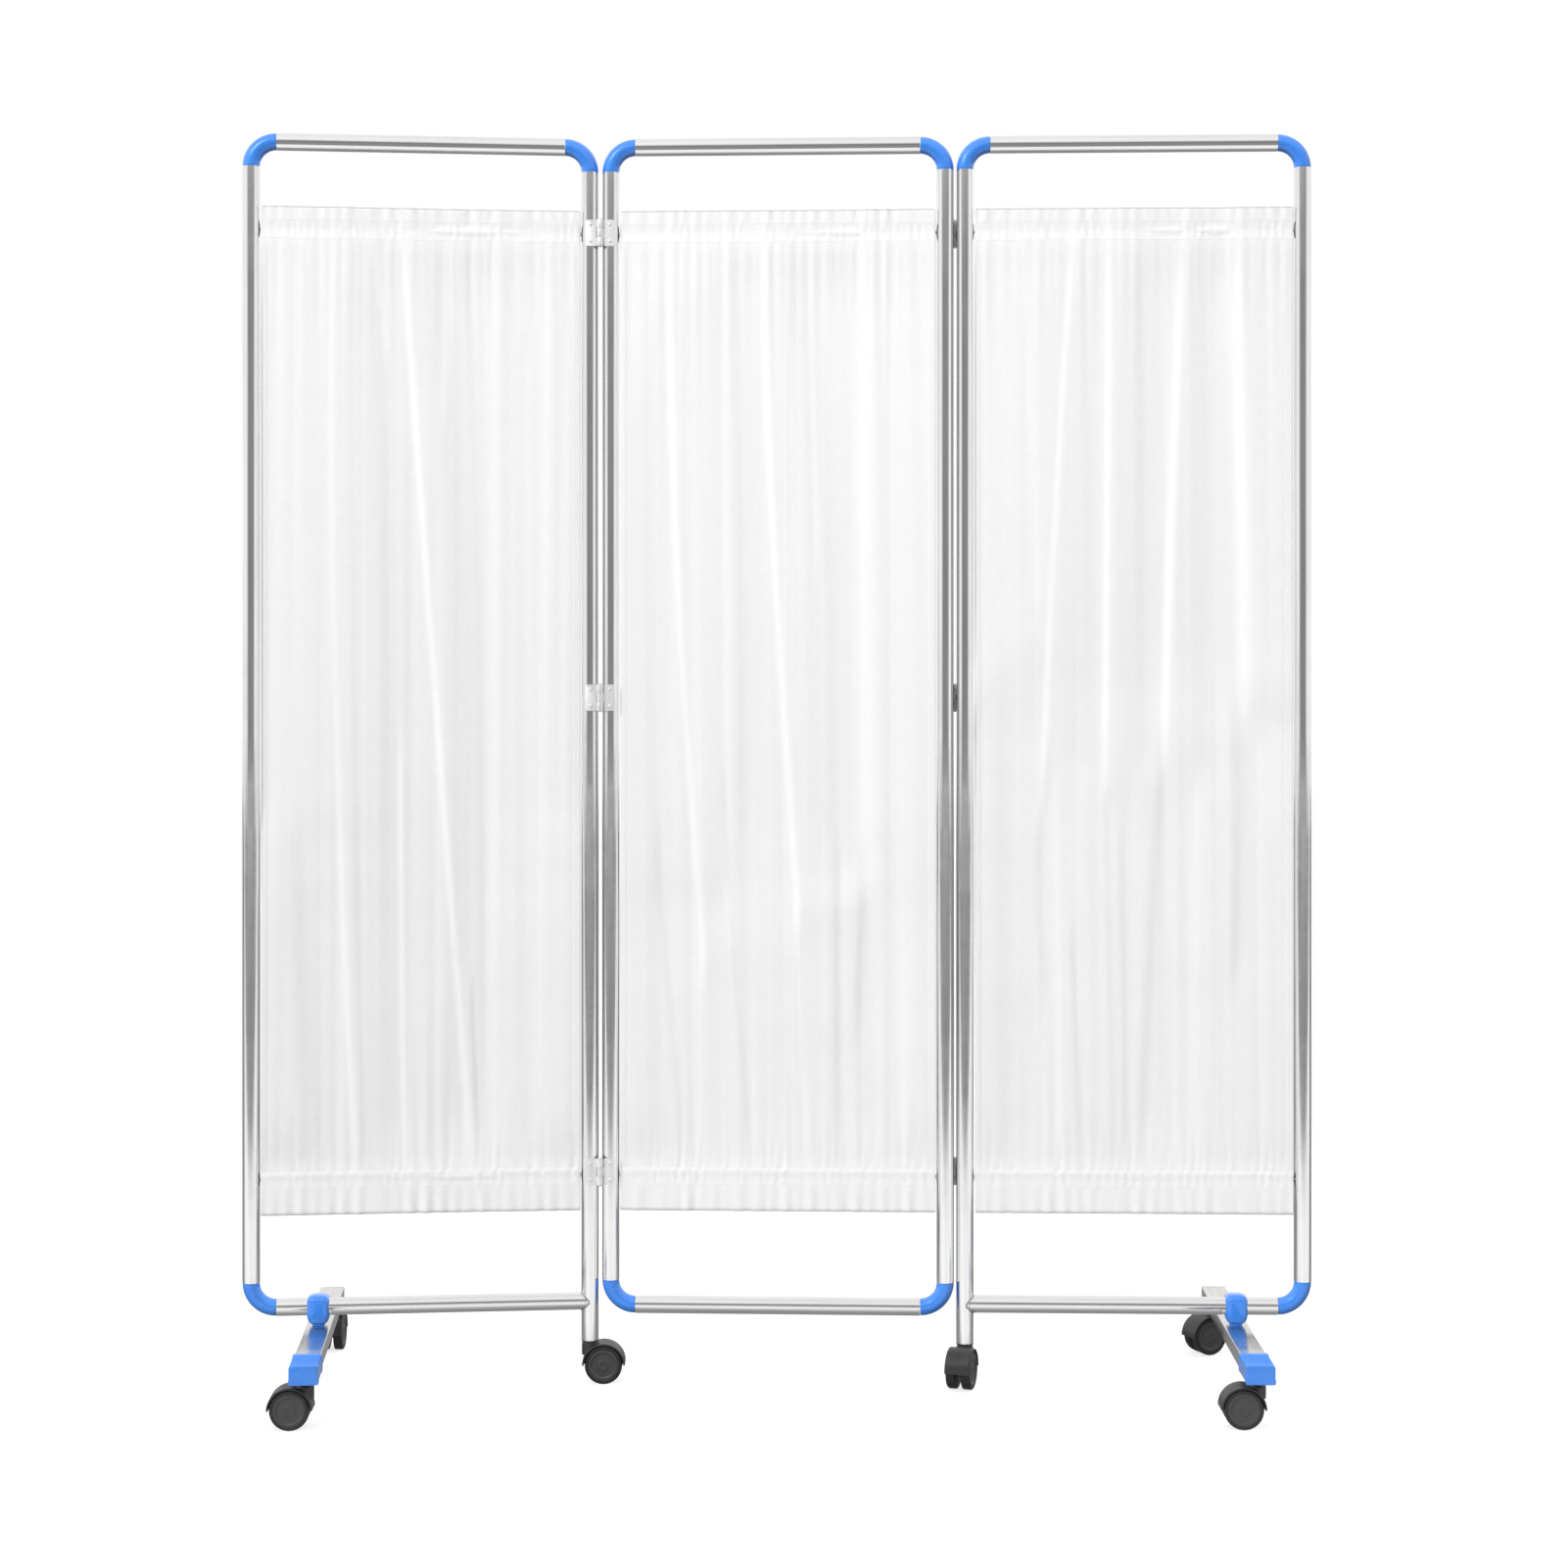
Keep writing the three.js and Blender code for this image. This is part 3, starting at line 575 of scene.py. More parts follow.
def weave_effect():
    """A plain weave over flat cloth coordinates in metres: warp and weft threads that pass over and under."""
    g = effect("plain_weave", {"Cloth": VECTOR, "Threads": 1600.0, "Unevenness": 0.5})
    scaled = g.add("ShaderNodeVectorMath", {0: g["Cloth"], 3: g["Threads"]}, operation="SCALE")
    across = g.parts(scaled)
    warp, weft = [g.math("SINE", g.math("MULTIPLY", across[way], math.pi)) for way in "XY"]
    slub = g.noise(g.stretched(scaled, (0.6, 0.02, 1.0)), 1.0, 2.0, 0.6)
    height = g.math("ADD", g.math("MULTIPLY", warp, weft), g.math("MULTIPLY", slub, g["Unevenness"]))
    return g.close(FLOAT, {"Height": height, "Tone": g.remap(slub, 0.3, 0.7)})


DRAWN_GRAIN = drawn_grain_effect()
HANDLING = handling_effect()
MOULDED_SKIN = moulded_effect()
DUST = dust_effect()
WEAVE = weave_effect()

# Finishes


def emptied(owner):
    """The node tree of a material or a world, with nothing in it yet."""
    owner.use_nodes = True
    owner.node_tree.nodes.clear()
    return owner.node_tree


class Finish(Graph):
    """A material, and what its surface is made from."""

    def __init__(self, name):
        self.material = bpy.data.materials.new(name)
        super().__init__(emptied(self.material))

    def place(self, rotation=(0, 0, 0)):
        own = self.node("ShaderNodeAttribute", attribute_name="own_place")["Vector"]
        return self.add("ShaderNodeMapping", {"Vector": own, "Rotation": rotation})

    def effect(self, tree, inputs):
        return self.node("ShaderNodeGroup", inputs, node_tree=tree)

    def mix(self, factor, a, b):
        """Two colours, or colours already made, mixed by a mask."""
        a, b = [value if isinstance(value, bpy.types.NodeSocket) else (*value, 1) for value in (a, b)]
        return self.node("ShaderNodeMix", {0: factor, 6: a, 7: b}, data_type="RGBA")[2]

    def dusty(self, place, amount, colour, dust_colour):
        """The colour under its dust, and where the dust lies."""
        settled = self.effect(DUST, {"Place": place, "Amount": amount})["Mask"]
        return self.mix(settled, colour, dust_colour), settled

    def bump(self, height, distance, strength):
        inputs = {"Height": height, "Distance": distance, "Strength": strength}
        return self.add("ShaderNodeBump", inputs)

    def shine(self, strength):
        return self.add("ShaderNodeEmission", {"Color": WHITE, "Strength": strength})

    def blend(self, factor, a, b):
        return self.add("ShaderNodeMixShader", {0: factor, 1: a, 2: b})

    def close(self, surface):
        self.node("ShaderNodeOutputMaterial", {"Surface": surface})
        return self.material

    def principled(self, colour, roughness, normal, values):
        inputs = {"Base Color": colour, "Roughness": roughness, "Normal": normal, **values}
        return self.close(self.add("ShaderNodeBsdfPrincipled", inputs))


def steel(name, light, dark, smooth, rough, grain_depth, rotation=(0, 0, 0), dust=0.0, fineness=1500.0, metal=1.0):
    """Drawn steel: streaks along the piece, cloudy handling marks, fine grain."""
    g = Finish(name)
    place = g.place(rotation)
    grain = g.effect(DRAWN_GRAIN, {"Place": place, "Fineness": fineness, "Line Length": 0.12})
    marks = g.effect(HANDLING, {"Place": place})
    colour = g.mix(g.math("MULTIPLY", marks["Scuff"], 0.35), g.mix(grain["Streak"], light, dark), dark)
    spread = g.remap(marks["Cloud"], 0.0, 1.0, smooth, rough)
    if dust:
        colour, settled = g.dusty(place, dust, colour, (0.55, 0.54, 0.52))
        spread = g.math("ADD", spread, g.math("MULTIPLY", settled, 0.5))
    return g.principled(colour, spread, g.bump(grain["Height"], grain_depth, 0.5), {"Metallic": metal})


def plastic(name, colour, shade, smooth, rough, skin_depth, dust, coat=0.0):
    """Moulded plastic: faint flow marks, fine skin, handling marks and settled dust."""
    g = Finish(name)
    place = g.place()
    skin = g.effect(MOULDED_SKIN, {"Place": place})
    marks = g.effect(HANDLING, {"Place": place, "Cloud Scale": 45.0, "Scuff Scale": 300.0})
    tone, _ = g.dusty(place, dust, g.mix(skin["Flow"], colour, shade), (0.3, 0.29, 0.28))
    spread = g.remap(marks["Cloud"], 0.0, 1.0, smooth, rough)
    values = {"Coat Weight": coat, "Coat Roughness": 0.06}
    return g.principled(tone, spread, g.bump(skin["Height"], skin_depth, 0.4), values)


def cloth(name, light, shade, depth):
    """Woven polyester, matt with a faint sheen, its threads following the cloth. A crease noise raises its bump and
    also darkens its colour: painted shade on the creases.
    """
    g = Finish(name)
    flat = g.add("ShaderNodeUVMap", uv_map="cloth")
    weave = g.effect(WEAVE, {"Cloth": flat, "Threads": 1500.0, "Unevenness": 0.6})
    crease_bump_and_painted_shade = g.noise(flat, 55.0, 4.0, 0.55)
    tone = g.mix(g.remap(weave["Tone"], 0.0, 1.0, 0.0, 0.5), light, shade)
    # Painted shade: where the crease noise rises, the colour darkens towards the shade colour
    colour = g.mix(g.remap(crease_bump_and_painted_shade, 0.4, 0.75, 0.0, 0.35), tone, shade)
    height = g.math("ADD", weave["Height"], g.math("MULTIPLY", crease_bump_and_painted_shade, 6.0))
    values = {"Sheen Weight": 0.12, "Sheen Roughness": 0.5, "Specular IOR Level": 0.25}
    return g.principled(colour, g.remap(weave["Tone"], 0.0, 1.0, 0.82, 0.95), g.bump(height, depth, 0.6), values)


def thread(name, colour, shade):
    """Twisted sewing thread."""
    g = Finish(name)
    twist = g.noise(g.place(), 3500.0, 1.0)
    return g.principled(g.mix(twist, colour, shade), 0.7, g.bump(twist, 0.00008, 0.5), {"Sheen Weight": 0.1})


def grey(level, blue=0.0):
    return (level, level, level + blue)


WHITE = (1, 1, 1, 1)
LEVEL_GRAIN = (math.pi / 2, 0, 0)
POLISHED_TUBE = steel("polished_tube", grey(0.88), grey(0.77, 0.005), 0.10, 0.19, 0.00002)
POLISHED_BAR = steel(
    "polished_foot_bar", (0.76, 0.75, 0.74), (0.62, 0.61, 0.60), 0.14, 0.24, 0.00001, LEVEL_GRAIN, 0.10,
)
PLAIN_STEEL = steel(
    "plain_hinge_steel", grey(0.94), grey(0.80, 0.01), 0.36, 0.50, 0.00003, fineness=900.0, metal=0.55,
)
ROD_STEEL = steel("drawn_rod_steel", grey(0.60, 0.01), grey(0.45, 0.01), 0.22, 0.36, 0.00003)
WELD_STEEL = steel("ground_weld_steel", grey(0.50), (0.36, 0.35, 0.34), 0.28, 0.45, 0.00008, fineness=500.0)
BLUE_PLASTIC = plastic(
    "glossy_blue_plastic", (0.034, 0.255, 0.86), (0.026, 0.220, 0.80), 0.18, 0.28, 0.00003, 0.05, coat=0.8,
)
BLACK_PLASTIC = plastic(
    "black_castor_plastic", grey(0.016, 0.001), grey(0.026, 0.001), 0.32, 0.50, 0.00006, 0.10,
)
WHEEL_PLASTIC = plastic("grey_wheel_plastic", grey(0.040, 0.001), grey(0.054, 0.001), 0.38, 0.55, 0.00006, 0.12)
TREAD_PLASTIC = plastic(
    "black_tread_plastic", grey(0.010, 0.0005), grey(0.018, 0.0005), 0.50, 0.70, 0.00010, 0.08,
)
CURTAIN_CLOTH = cloth("white_curtain_cloth", grey(0.88), grey(0.83), 0.00006)
# Grey finish for the bead along the curtains' top and bottom edges, which draws a thin grey line there
GREY_EDGE_BEAD = thread("grey_edge_bead", (0.50, 0.51, 0.52), (0.40, 0.41, 0.42))
SEAM_THREAD = thread("white_seam_thread", grey(0.80, 0.01), grey(0.66, 0.01))

# Pieces


def finish_piece(name, mesh, place, body, finishes, replaced=(), crease=32):
    """Puts a mesh in its place, keeps its own coordinates for its pattern, and hangs it on its body."""
    mesh.name = name
    own = mesh.attributes.new("own_place", "FLOAT_VECTOR", "POINT")
    coordinates = np.empty(3 * len(mesh.vertices), np.float32)
    mesh.vertices.foreach_get("co", coordinates)
    own.data.foreach_set("vector", coordinates)
    mesh.transform(place)
    if not mesh.materials:
        for finish in finishes:
            mesh.materials.append(finish)
    mesh.polygons.foreach_set("use_smooth", [True] * len(mesh.polygons))
    if crease:
        mesh.set_sharp_from_angle(angle=math.radians(crease))
    obj = linked(name, mesh)
    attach(obj, body)
    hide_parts(*replaced)
    return obj


def on_panel(panel, name, mesh, place, finish, *replaced, crease=32):
    """Puts a piece on a panel. Its place is given from the floor below the panel's middle."""
    return finish_piece(name, mesh, PANELS[panel] @ place, f"{panel}_panel", [finish], replaced, crease)


# Frame tubes and elbows


def add_tube(panel, node, place, length):
    sizes = {"Outer Radius": TUBE_RADIUS, "Wall": TUBE_WALL, "End Round": TUBE_END_ROUND, "Sides": TUBE_SIDES}
    tube = grown(TUBE_TREE, POLISHED_TUBE, {**sizes, "Length": length})
    on_panel(panel, f"{node}_tube", tube, place, POLISHED_TUBE, node)


def add_upright(panel, node, x, lower_end=None):
    low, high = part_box(node)
    start = lower_end or low.z
    add_tube(panel, node, shift(x, 0, start), high.z - start)


def add_rail(panel, node, start, stop):
    add_tube(panel, node, shift(start, 0, middle_of(node).z) @ turn(90, "Y"), stop - start)


def bead(finish, lines, radius, step, sides=8, closed=False):
    """Round beads along lines of points."""
    sizes = {"Radius": radius, "Step": step, "Sides": sides, "Capped": not closed}
    return grown(BEAD_TREE, finish, sizes, line_mesh(lines, closed))


def elbow_shape():
    """An elbow from its level end on the right to its hanging end on the left, its tubes' meeting point at zero,
    with the faint parting line of its mould along its outer and inner bends."""
    sizes = {"Bend Radius": BEND_RADIUS, "Radius": ELBOW_RADIUS, "Rim Round": ELBOW_END_ROUND, "Steps": 40, "Sides": 48}
    bend = grown(BEND_TREE, BLUE_PLASTIC, sizes)
    angles = [math.radians(2 + 86 * i / 24) for i in range(25)]
    lines = [
        [(BEND_RADIUS - reach * math.sin(a), 0, reach * math.cos(a) - BEND_RADIUS) for a in angles]
        for reach in (BEND_RADIUS + ELBOW_RADIUS, BEND_RADIUS - ELBOW_RADIUS)
    ]
    bend_place = shift(BEND_RADIUS, 0, -BEND_RADIUS) @ turn(90, "X") @ turn(90, "Z")
    return gathered_meshes([(bend, bend_place), (bead(BLUE_PLASTIC, lines, SEAM_RADIUS, 2 * MM, 6), Matrix())])


ELBOW = elbow_shape()
ELBOW_TURNS = {(-1, 1): (0, "Z"), (-1, -1): (180, "X"), (1, 1): (180, "Z"), (1, -1): (180, "Y")}


def add_elbow(panel, node, side, level):
    """side is -1 for a left corner, level is 1 for a top corner."""
    low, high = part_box(node)
    corner_height = high.z - ELBOW_RADIUS if level > 0 else low.z + ELBOW_RADIUS
    place = shift(side * HALF_SPACING, 0, corner_height) @ turn(*ELBOW_TURNS[side, level])
    on_panel(panel, f"{node}_bend", ELBOW.copy(), place, BLUE_PLASTIC, node)


def add_rail_weld(panel, node, side):
    """The bead round the end of a bottom rail, where it meets the side of the inner upright."""
    round_end = [(TUBE_RADIUS * math.cos(a), TUBE_RADIUS * math.sin(a)) for a in circle_angles(48)]
    points = [(-side * max(abs(z), WELD_MIN_REACH), y, z) for y, z in round_end]
    weld = bead(WELD_STEEL, [points], WELD_RADIUS, 1.6 * MM, closed=True)
    place = shift(side * HALF_SPACING, 0, middle_of(node).z)
    on_panel(panel, f"{node}_weld", weld, place, WELD_STEEL, crease=0)


for panel, inner in INNER_SIDE.items():
    add_upright(panel, f"{panel}_outer_upright", -inner * HALF_SPACING)
    add_upright(panel, f"{panel}_inner_upright", inner * HALF_SPACING, LEG_END)
    add_rail(panel, f"{panel}_top_rail", -RAIL_END, RAIL_END)
    weld_end = HALF_SPACING - TUBE_RADIUS / 2
    add_rail(panel, f"{panel}_bottom_rail", *sorted((-inner * RAIL_END, inner * weld_end)))
    add_rail_weld(panel, f"{panel}_bottom_rail", inner)
    for corner, side, level in (("top_outer", -inner, 1), ("top_inner", inner, 1), ("bottom_outer", -inner, -1)):
        add_elbow(panel, f"{panel}_{corner}_elbow", side, level)
for hand, side in (("left", -1), ("right", 1)):
    add_upright("middle", f"middle_{hand}_upright", side * HALF_SPACING)
    add_elbow("middle", f"middle_top_{hand}_elbow", side, 1)
    add_elbow("middle", f"middle_bottom_{hand}_elbow", side, -1)
for level in ("top", "bottom"):
    add_rail("middle", f"middle_{level}_rail", -RAIL_END, RAIL_END)

# Hinges

HINGE_LEVELS = ("bottom", "middle", "top")


def hinge_leaf(side, outer_knuckles):
    """One leaf about its tube's centre, on the front. side is where the pin stands."""
    pin_x = side * BARREL_SIDE
    edge_x = pin_x - side * LEAF_REACH
    clear_x = pin_x - side * (KNUCKLE_RADIUS + KNUCKLE_CLEARANCE)
    if outer_knuckles:
        split = KNUCKLE_HALF + KNUCKLE_PLAY
        upper = [(clear_x, split), (pin_x, split), (pin_x, HINGE_HALF), (edge_x, HINGE_HALF)]
        corners = [NOTCH_CORNER, 0, 0, LEAF_CORNER]
        spans = [(-HINGE_HALF, -split), (split, HINGE_HALF)]
    else:
        split = KNUCKLE_HALF - KNUCKLE_PLAY
        upper = [(pin_x, split), (clear_x, split), (clear_x, HINGE_HALF), (edge_x, HINGE_HALF)]
        corners = [0, NOTCH_CORNER, LEAF_CORNER / 2, LEAF_CORNER]
        spans = [(-split, split)]
    outline = rounded(mirrored(upper), corners[::-1] + corners, 5)
    plate = extruded(outline, -LEAF_CENTRE - LEAF_THICKNESS / 2, LEAF_THICKNESS / 2 - LEAF_CENTRE)
    barrel = shift(pin_x, -BARREL_DEPTH, 0)
    bore = placed(post(PIN_BORE, -BORE_HALF, BORE_HALF, 32), barrel)
    leaf = combined(bevelled(plate, 0.25 * MM, 2), bore, "DIFFERENCE")
    for low, high in spans:
        section = [(PIN_BORE, low), (KNUCKLE_RADIUS, low), (KNUCKLE_RADIUS, high), (PIN_BORE, high)]
        leaf = combined(leaf, placed(turned(rounded(section, 0.3 * MM, 2), 32, closed=True), barrel))
    return leaf


def add_leaves(panel, node, side, face, outer_knuckles, pair):
    """The three leaves on one upright, with their rivets. face is -1 for hinges on the front."""
    heights = [middle_of(f"{pair}_{level}_hinge_pin").z for level in HINGE_LEVELS]
    leaf = hinge_leaf(-face * side, outer_knuckles)
    way = turn(0 if face < 0 else 180, "Z")
    leaves = gathered_meshes([(leaf, shift(0, 0, height) @ way) for height in heights])
    place = shift(side * HALF_SPACING, 0, 0)
    on_panel(panel, f"{node}_hinge_leaves", leaves, place, PLAIN_STEEL, node)
    surface = face * (LEAF_CENTRE + LEAF_THICKNESS / 2)
    dots = mesh_from([(0, surface, height + rise) for height in heights for rise in (-RIVET_RISE, RIVET_RISE)])
    heads = grown(RIVET_TREE, PLAIN_STEEL, {"Radius": RIVET_RADIUS, "Height": RIVET_HEIGHT}, dots)
    on_panel(panel, f"{node}_hinge_rivets", heads, place, PLAIN_STEEL, crease=0)


def pin_shape():
    """A hinge pin with a domed head at each end, centred on its middle."""
    shaft = HINGE_HALF + SEAT_GAP
    crown = shaft + PIN_CROWN
    half = [
        (PIN_RADIUS, shaft), (PIN_HEAD, shaft), (PIN_HEAD, shaft + 0.5 * MM), (PIN_HEAD * 0.72, crown - 0.25 * MM),
        (0, crown),
    ]
    return turned(mirrored(rounded(half, [0, 0.15 * MM, 0.3 * MM, 0.6 * MM, 0], 3, closed=False)), 32)


add_leaves("left", "left_inner_upright", 1, -1, True, "left")
add_leaves("middle", "middle_left_upright", -1, -1, False, "left")
add_leaves("middle", "middle_right_upright", 1, 1, False, "right")
add_leaves("right", "right_inner_upright", -1, 1, True, "right")
for pair in ("left", "right"):
    for level in HINGE_LEVELS:
        node = f"{pair}_{level}_hinge_pin"
        place = Matrix.Translation(middle_of(node))
        finish_piece(f"{node}_rod", pin_shape(), place, "middle_panel", [PLAIN_STEEL], [node])

# Foot


def foot_bar_shape(front, rear):
    """A rectangular tube along Y between its two ends."""
    rings = []
    for inset, radius, ends in ((0, 2.2 * MM, (front, rear)), (FOOT_BAR_WALL, 0.9 * MM, (rear, front))):
        section = oblong(FOOT_BAR_WIDTH - 2 * inset, FOOT_BAR_HEIGHT - 2 * inset, radius, 5)
        rings += [[(x, y, z) for x, z in section] for y in ends]
    return lofted(rings, closed=True)


def block(width, length, height, corner, edge):
    """A block along Y from zero, rounded in section and at its ends."""
    return bevelled(extruded(oblong(width, height, corner, 6), 0, length), edge)


def front_cap_shape():
    """The cap's closed end at zero: a body, a shallow lip round its open end and a band round its toe."""
    body = block(FOOT_CAP_WIDTH - 1.2 * MM, FOOT_CAP_LENGTH, FOOT_CAP_HEIGHT - 1.0 * MM, 3.6 * MM, 1.4 * MM)
    lip = block(FOOT_CAP_WIDTH, CAP_LIP, FOOT_CAP_HEIGHT, 4 * MM, 0.9 * MM)
    toe = block(FOOT_CAP_WIDTH, CAP_TOE, FOOT_CAP_HEIGHT / 3, 3 * MM, 1.2 * MM)
    joined = combined(body, placed(lip, shift(0, FOOT_CAP_LENGTH - CAP_LIP, 0)))
    return combined(joined, placed(toe, shift(0, 0, -FOOT_CAP_HEIGHT / 3)))


def rear_plug_shape():
    """The plug's outer face at zero, its cover, its block in the bar and its boss for the castor."""
    cover = block(FOOT_BAR_WIDTH, PLUG_COVER, FOOT_BAR_HEIGHT, 2.4 * MM, 0.8 * MM)
    slack = 2 * (FOOT_BAR_WALL + SEAT_GAP)
    core = block(FOOT_BAR_WIDTH - slack, PLUG_CORE, FOOT_BAR_HEIGHT - slack, 1.0 * MM, 0.3 * MM)
    boss = post(BOSS_RADIUS, -FOOT_CAP_HEIGHT / 2, 0, 40, 0.4 * MM)
    joined = combined(cover, placed(core, shift(0, PLUG_COVER / 2, 0)))
    return combined(joined, placed(boss, shift(0, FOOT_REACH - STEM_SPREAD, 0)))


def clamp_shape(low, rail_height):
    """A domed saddle with a bore for the rail, rounded in underneath to a narrow neck over the bar."""
    shoulder = CLAMP_TOP - CLAMP_DOME
    widening, rise = CLAMP_WAIST - CLAMP_NECK, NECK_END - NECK_START
    profile = [(0, low), (CLAMP_NECK, low), (CLAMP_NECK, low + NECK_START)]
    for angle in circle_angles(48)[1:13]:
        profile.append((CLAMP_NECK + widening * math.sin(angle), low + NECK_END - rise * math.cos(angle)))
    profile.append((CLAMP_WAIST, shoulder))
    for angle in circle_angles(64)[1:16]:
        profile.append((CLAMP_WAIST * math.cos(angle) ** 0.6, shoulder + CLAMP_DOME * math.sin(angle) ** 0.9))
    saddle = turned(profile + [(0, CLAMP_TOP)], 64)
    for vertex in saddle.vertices:
        angle = math.atan2(vertex.co.y, vertex.co.x)
        boxed = (abs(math.cos(angle)) ** 4 + abs(math.sin(angle)) ** 4) ** -0.25
        vertex.co.xy *= boxed
    bore = post(TUBE_RADIUS + SEAT_GAP / 2, -LONG_CUT, LONG_CUT, 56)
    return combined(saddle, placed(bore, shift(0, 0, rail_height) @ turn(90, "Y")), "DIFFERENCE")


def add_foot(panel):
    centre = PANELS[panel].inverted() @ middle_of(f"{panel}_foot_bar")
    place = shift(centre.x, 0, centre.z)
    bar = foot_bar_shape(FOOT_BAR_INSET + SEAT_GAP - FOOT_REACH, FOOT_REACH - PLUG_COVER - SEAT_GAP)
    clamp = clamp_shape(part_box(f"{panel}_foot_clamp")[0].z, middle_of(f"{panel}_bottom_rail").z)
    rear_place = place @ shift(0, FOOT_REACH, 0) @ turn(180, "Z")
    for part, kind, mesh, part_place, finish in (
        ("foot_bar", "tube", bar, place, POLISHED_BAR),
        ("front_foot_cap", "shell", front_cap_shape(), place @ shift(0, -FOOT_REACH, 0), BLUE_PLASTIC),
        ("rear_foot_plug", "shell", rear_plug_shape(), rear_place, BLACK_PLASTIC),
        ("foot_clamp", "saddle", clamp, shift(centre.x, 0, 0), BLUE_PLASTIC),
    ):
        on_panel(panel, f"{panel}_{part}_{kind}", mesh, part_place, finish, f"{panel}_{part}")


for panel in INNER_SIDE:
    add_foot(panel)

# Castors


def castor_body_shape():
    """Hood, web, collar and stem, with the stem's centre at zero and the floor at z = 0."""
    axle = shift(AXLE_TRAIL, 0, WHEEL_RADIUS)
    rim = mirrored([(HOOD_OUTER, HOOD_HALF_WIDTH), (HOOD_INNER, HOOD_HALF_WIDTH)])
    rim = rounded(rim, [0.5 * MM, 1.9 * MM, 1.9 * MM, 0.5 * MM], 4)
    hood = lofted([[(r * math.cos(a), y, r * math.sin(a)) for r, y in rim] for a in circle_angles(96)[:49]])
    radius = HOOD_INNER + WEB_OVERLAP
    outline = [(radius * math.cos(a), radius * math.sin(a)) for a in circle_angles(80)[:41]]
    outline += [(-AXLE_BOSS, -AXLE_BOSS), (AXLE_BOSS, -AXLE_BOSS)]
    web = bevelled(placed(extruded(outline, -WEB_HALF, WEB_HALF), axle), 0.4 * MM, 2)
    top = CASTOR_TOP - SEAT_GAP
    collar = [
        (0, COLLAR_LOW), (COLLAR_FOOT, COLLAR_LOW), (COLLAR_FOOT, COLLAR_STEP - 4 * MM), (COLLAR_RADIUS, COLLAR_STEP),
        (COLLAR_RADIUS, top), (0, top),
    ]
    collar = turned(rounded(collar, [0, 1 * MM, 2 * MM, 2 * MM, 0.6 * MM, 0], 3, closed=False), 48)
    room = placed(post(HOOD_INNER, -LONG_CUT, LONG_CUT, 64), axle @ turn(90, "X"))
    slab = placed(extruded(oblong(80 * MM, 90 * MM, 0, 1), -WEB_HALF, WEB_HALF), shift(AXLE_TRAIL, 0, 45 * MM))
    collar = combined(collar, combined(room, slab, "DIFFERENCE"), "DIFFERENCE")
    stem = post(STEM_RADIUS, 50 * MM, STEM_TOP, 32, 1.2 * MM)
    return combined(combined(combined(placed(hood, axle), web), collar), stem)


def castor_wheels_shape():
    """Two wheels on their axle, turned about Z: rounded tread, a groove round each face, a dish and a hub.
    The tread and the rim outside the groove have the second finish."""
    face = [
        (3, 4.5, 0), (26, 4.5, 0.8), (27, 5.5, 0.8), (27, 16, 1.2), (25.6, 17.5, 1.2), (22.8, 17.5, 0.3),
        (22.4, 16.9, 0.2), (21.6, 16.9, 0.2), (21.2, 17.5, 0.3), (18.4, 17.5, 0.7), (16.6, 16.1, 0.8),
        (8.4, 16.1, 0.4), (7.6, 16.8, 0.4), (4.2, 16.8, 0.3), (3.6, 16.2, 0.2), (0, 16.2, 0),
    ]
    points = [(radius * MM, reach * MM) for radius, reach, _ in face]
    wheels = turned(mirrored(rounded(points, [corner * MM for *_, corner in face], 4, closed=False)), 72)
    for polygon in wheels.polygons:
        polygon.material_index = int(polygon.center.xy.length > TREAD_START)
    return wheels


CASTOR_BODY = castor_body_shape()
CASTOR_WHEELS = castor_wheels_shape()
for castor in CASTORS:
    place, name = castor_place(castor), f"{castor}_castor"
    finish_piece(f"{name}_hood", CASTOR_BODY.copy(), place, name, [BLACK_PLASTIC], [f"{name}_body"])
    place = place @ shift(AXLE_TRAIL, 0, WHEEL_RADIUS) @ turn(90, "X")
    finishes = [WHEEL_PLASTIC, TREAD_PLASTIC]
    finish_piece(f"{name}_twin_wheels", CASTOR_WHEELS.copy(), place, f"{castor}_wheels", finishes, [f"{name}_wheels"])


def socket_shape(top):
    """The black insert in the lower end of an inner upright: a ring under the tube and a lining up to its bush."""
    ring, lining, bush = TUBE_RADIUS, TUBE_RADIUS - TUBE_WALL - 0.1 * MM, COLLAR_RADIUS + SEAT_GAP
    low, shelf = LEG_END - LEG_RING, LEG_END - 0.1 * MM
    profile = [
        (bush, low), (ring, low), (ring, shelf), (lining, shelf), (lining, top), (STEM_RADIUS, top),
        (STEM_RADIUS, CASTOR_TOP), (bush, CASTOR_TOP),
    ]
    radii = [0.2 * MM, 0.6 * MM, 0.2 * MM, 0, 0.8 * MM, 0.3 * MM, 0.3 * MM, 0]
    return turned(rounded(profile, radii, 3), 48, closed=True)


for panel, inner in INNER_SIDE.items():
    node = f"{panel}_castor_socket"
    place = shift(inner * HALF_SPACING, 0, 0)
    on_panel(panel, f"{node}_insert", socket_shape(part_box(node)[1].z), place, BLACK_PLASTIC, node)

# Curtains

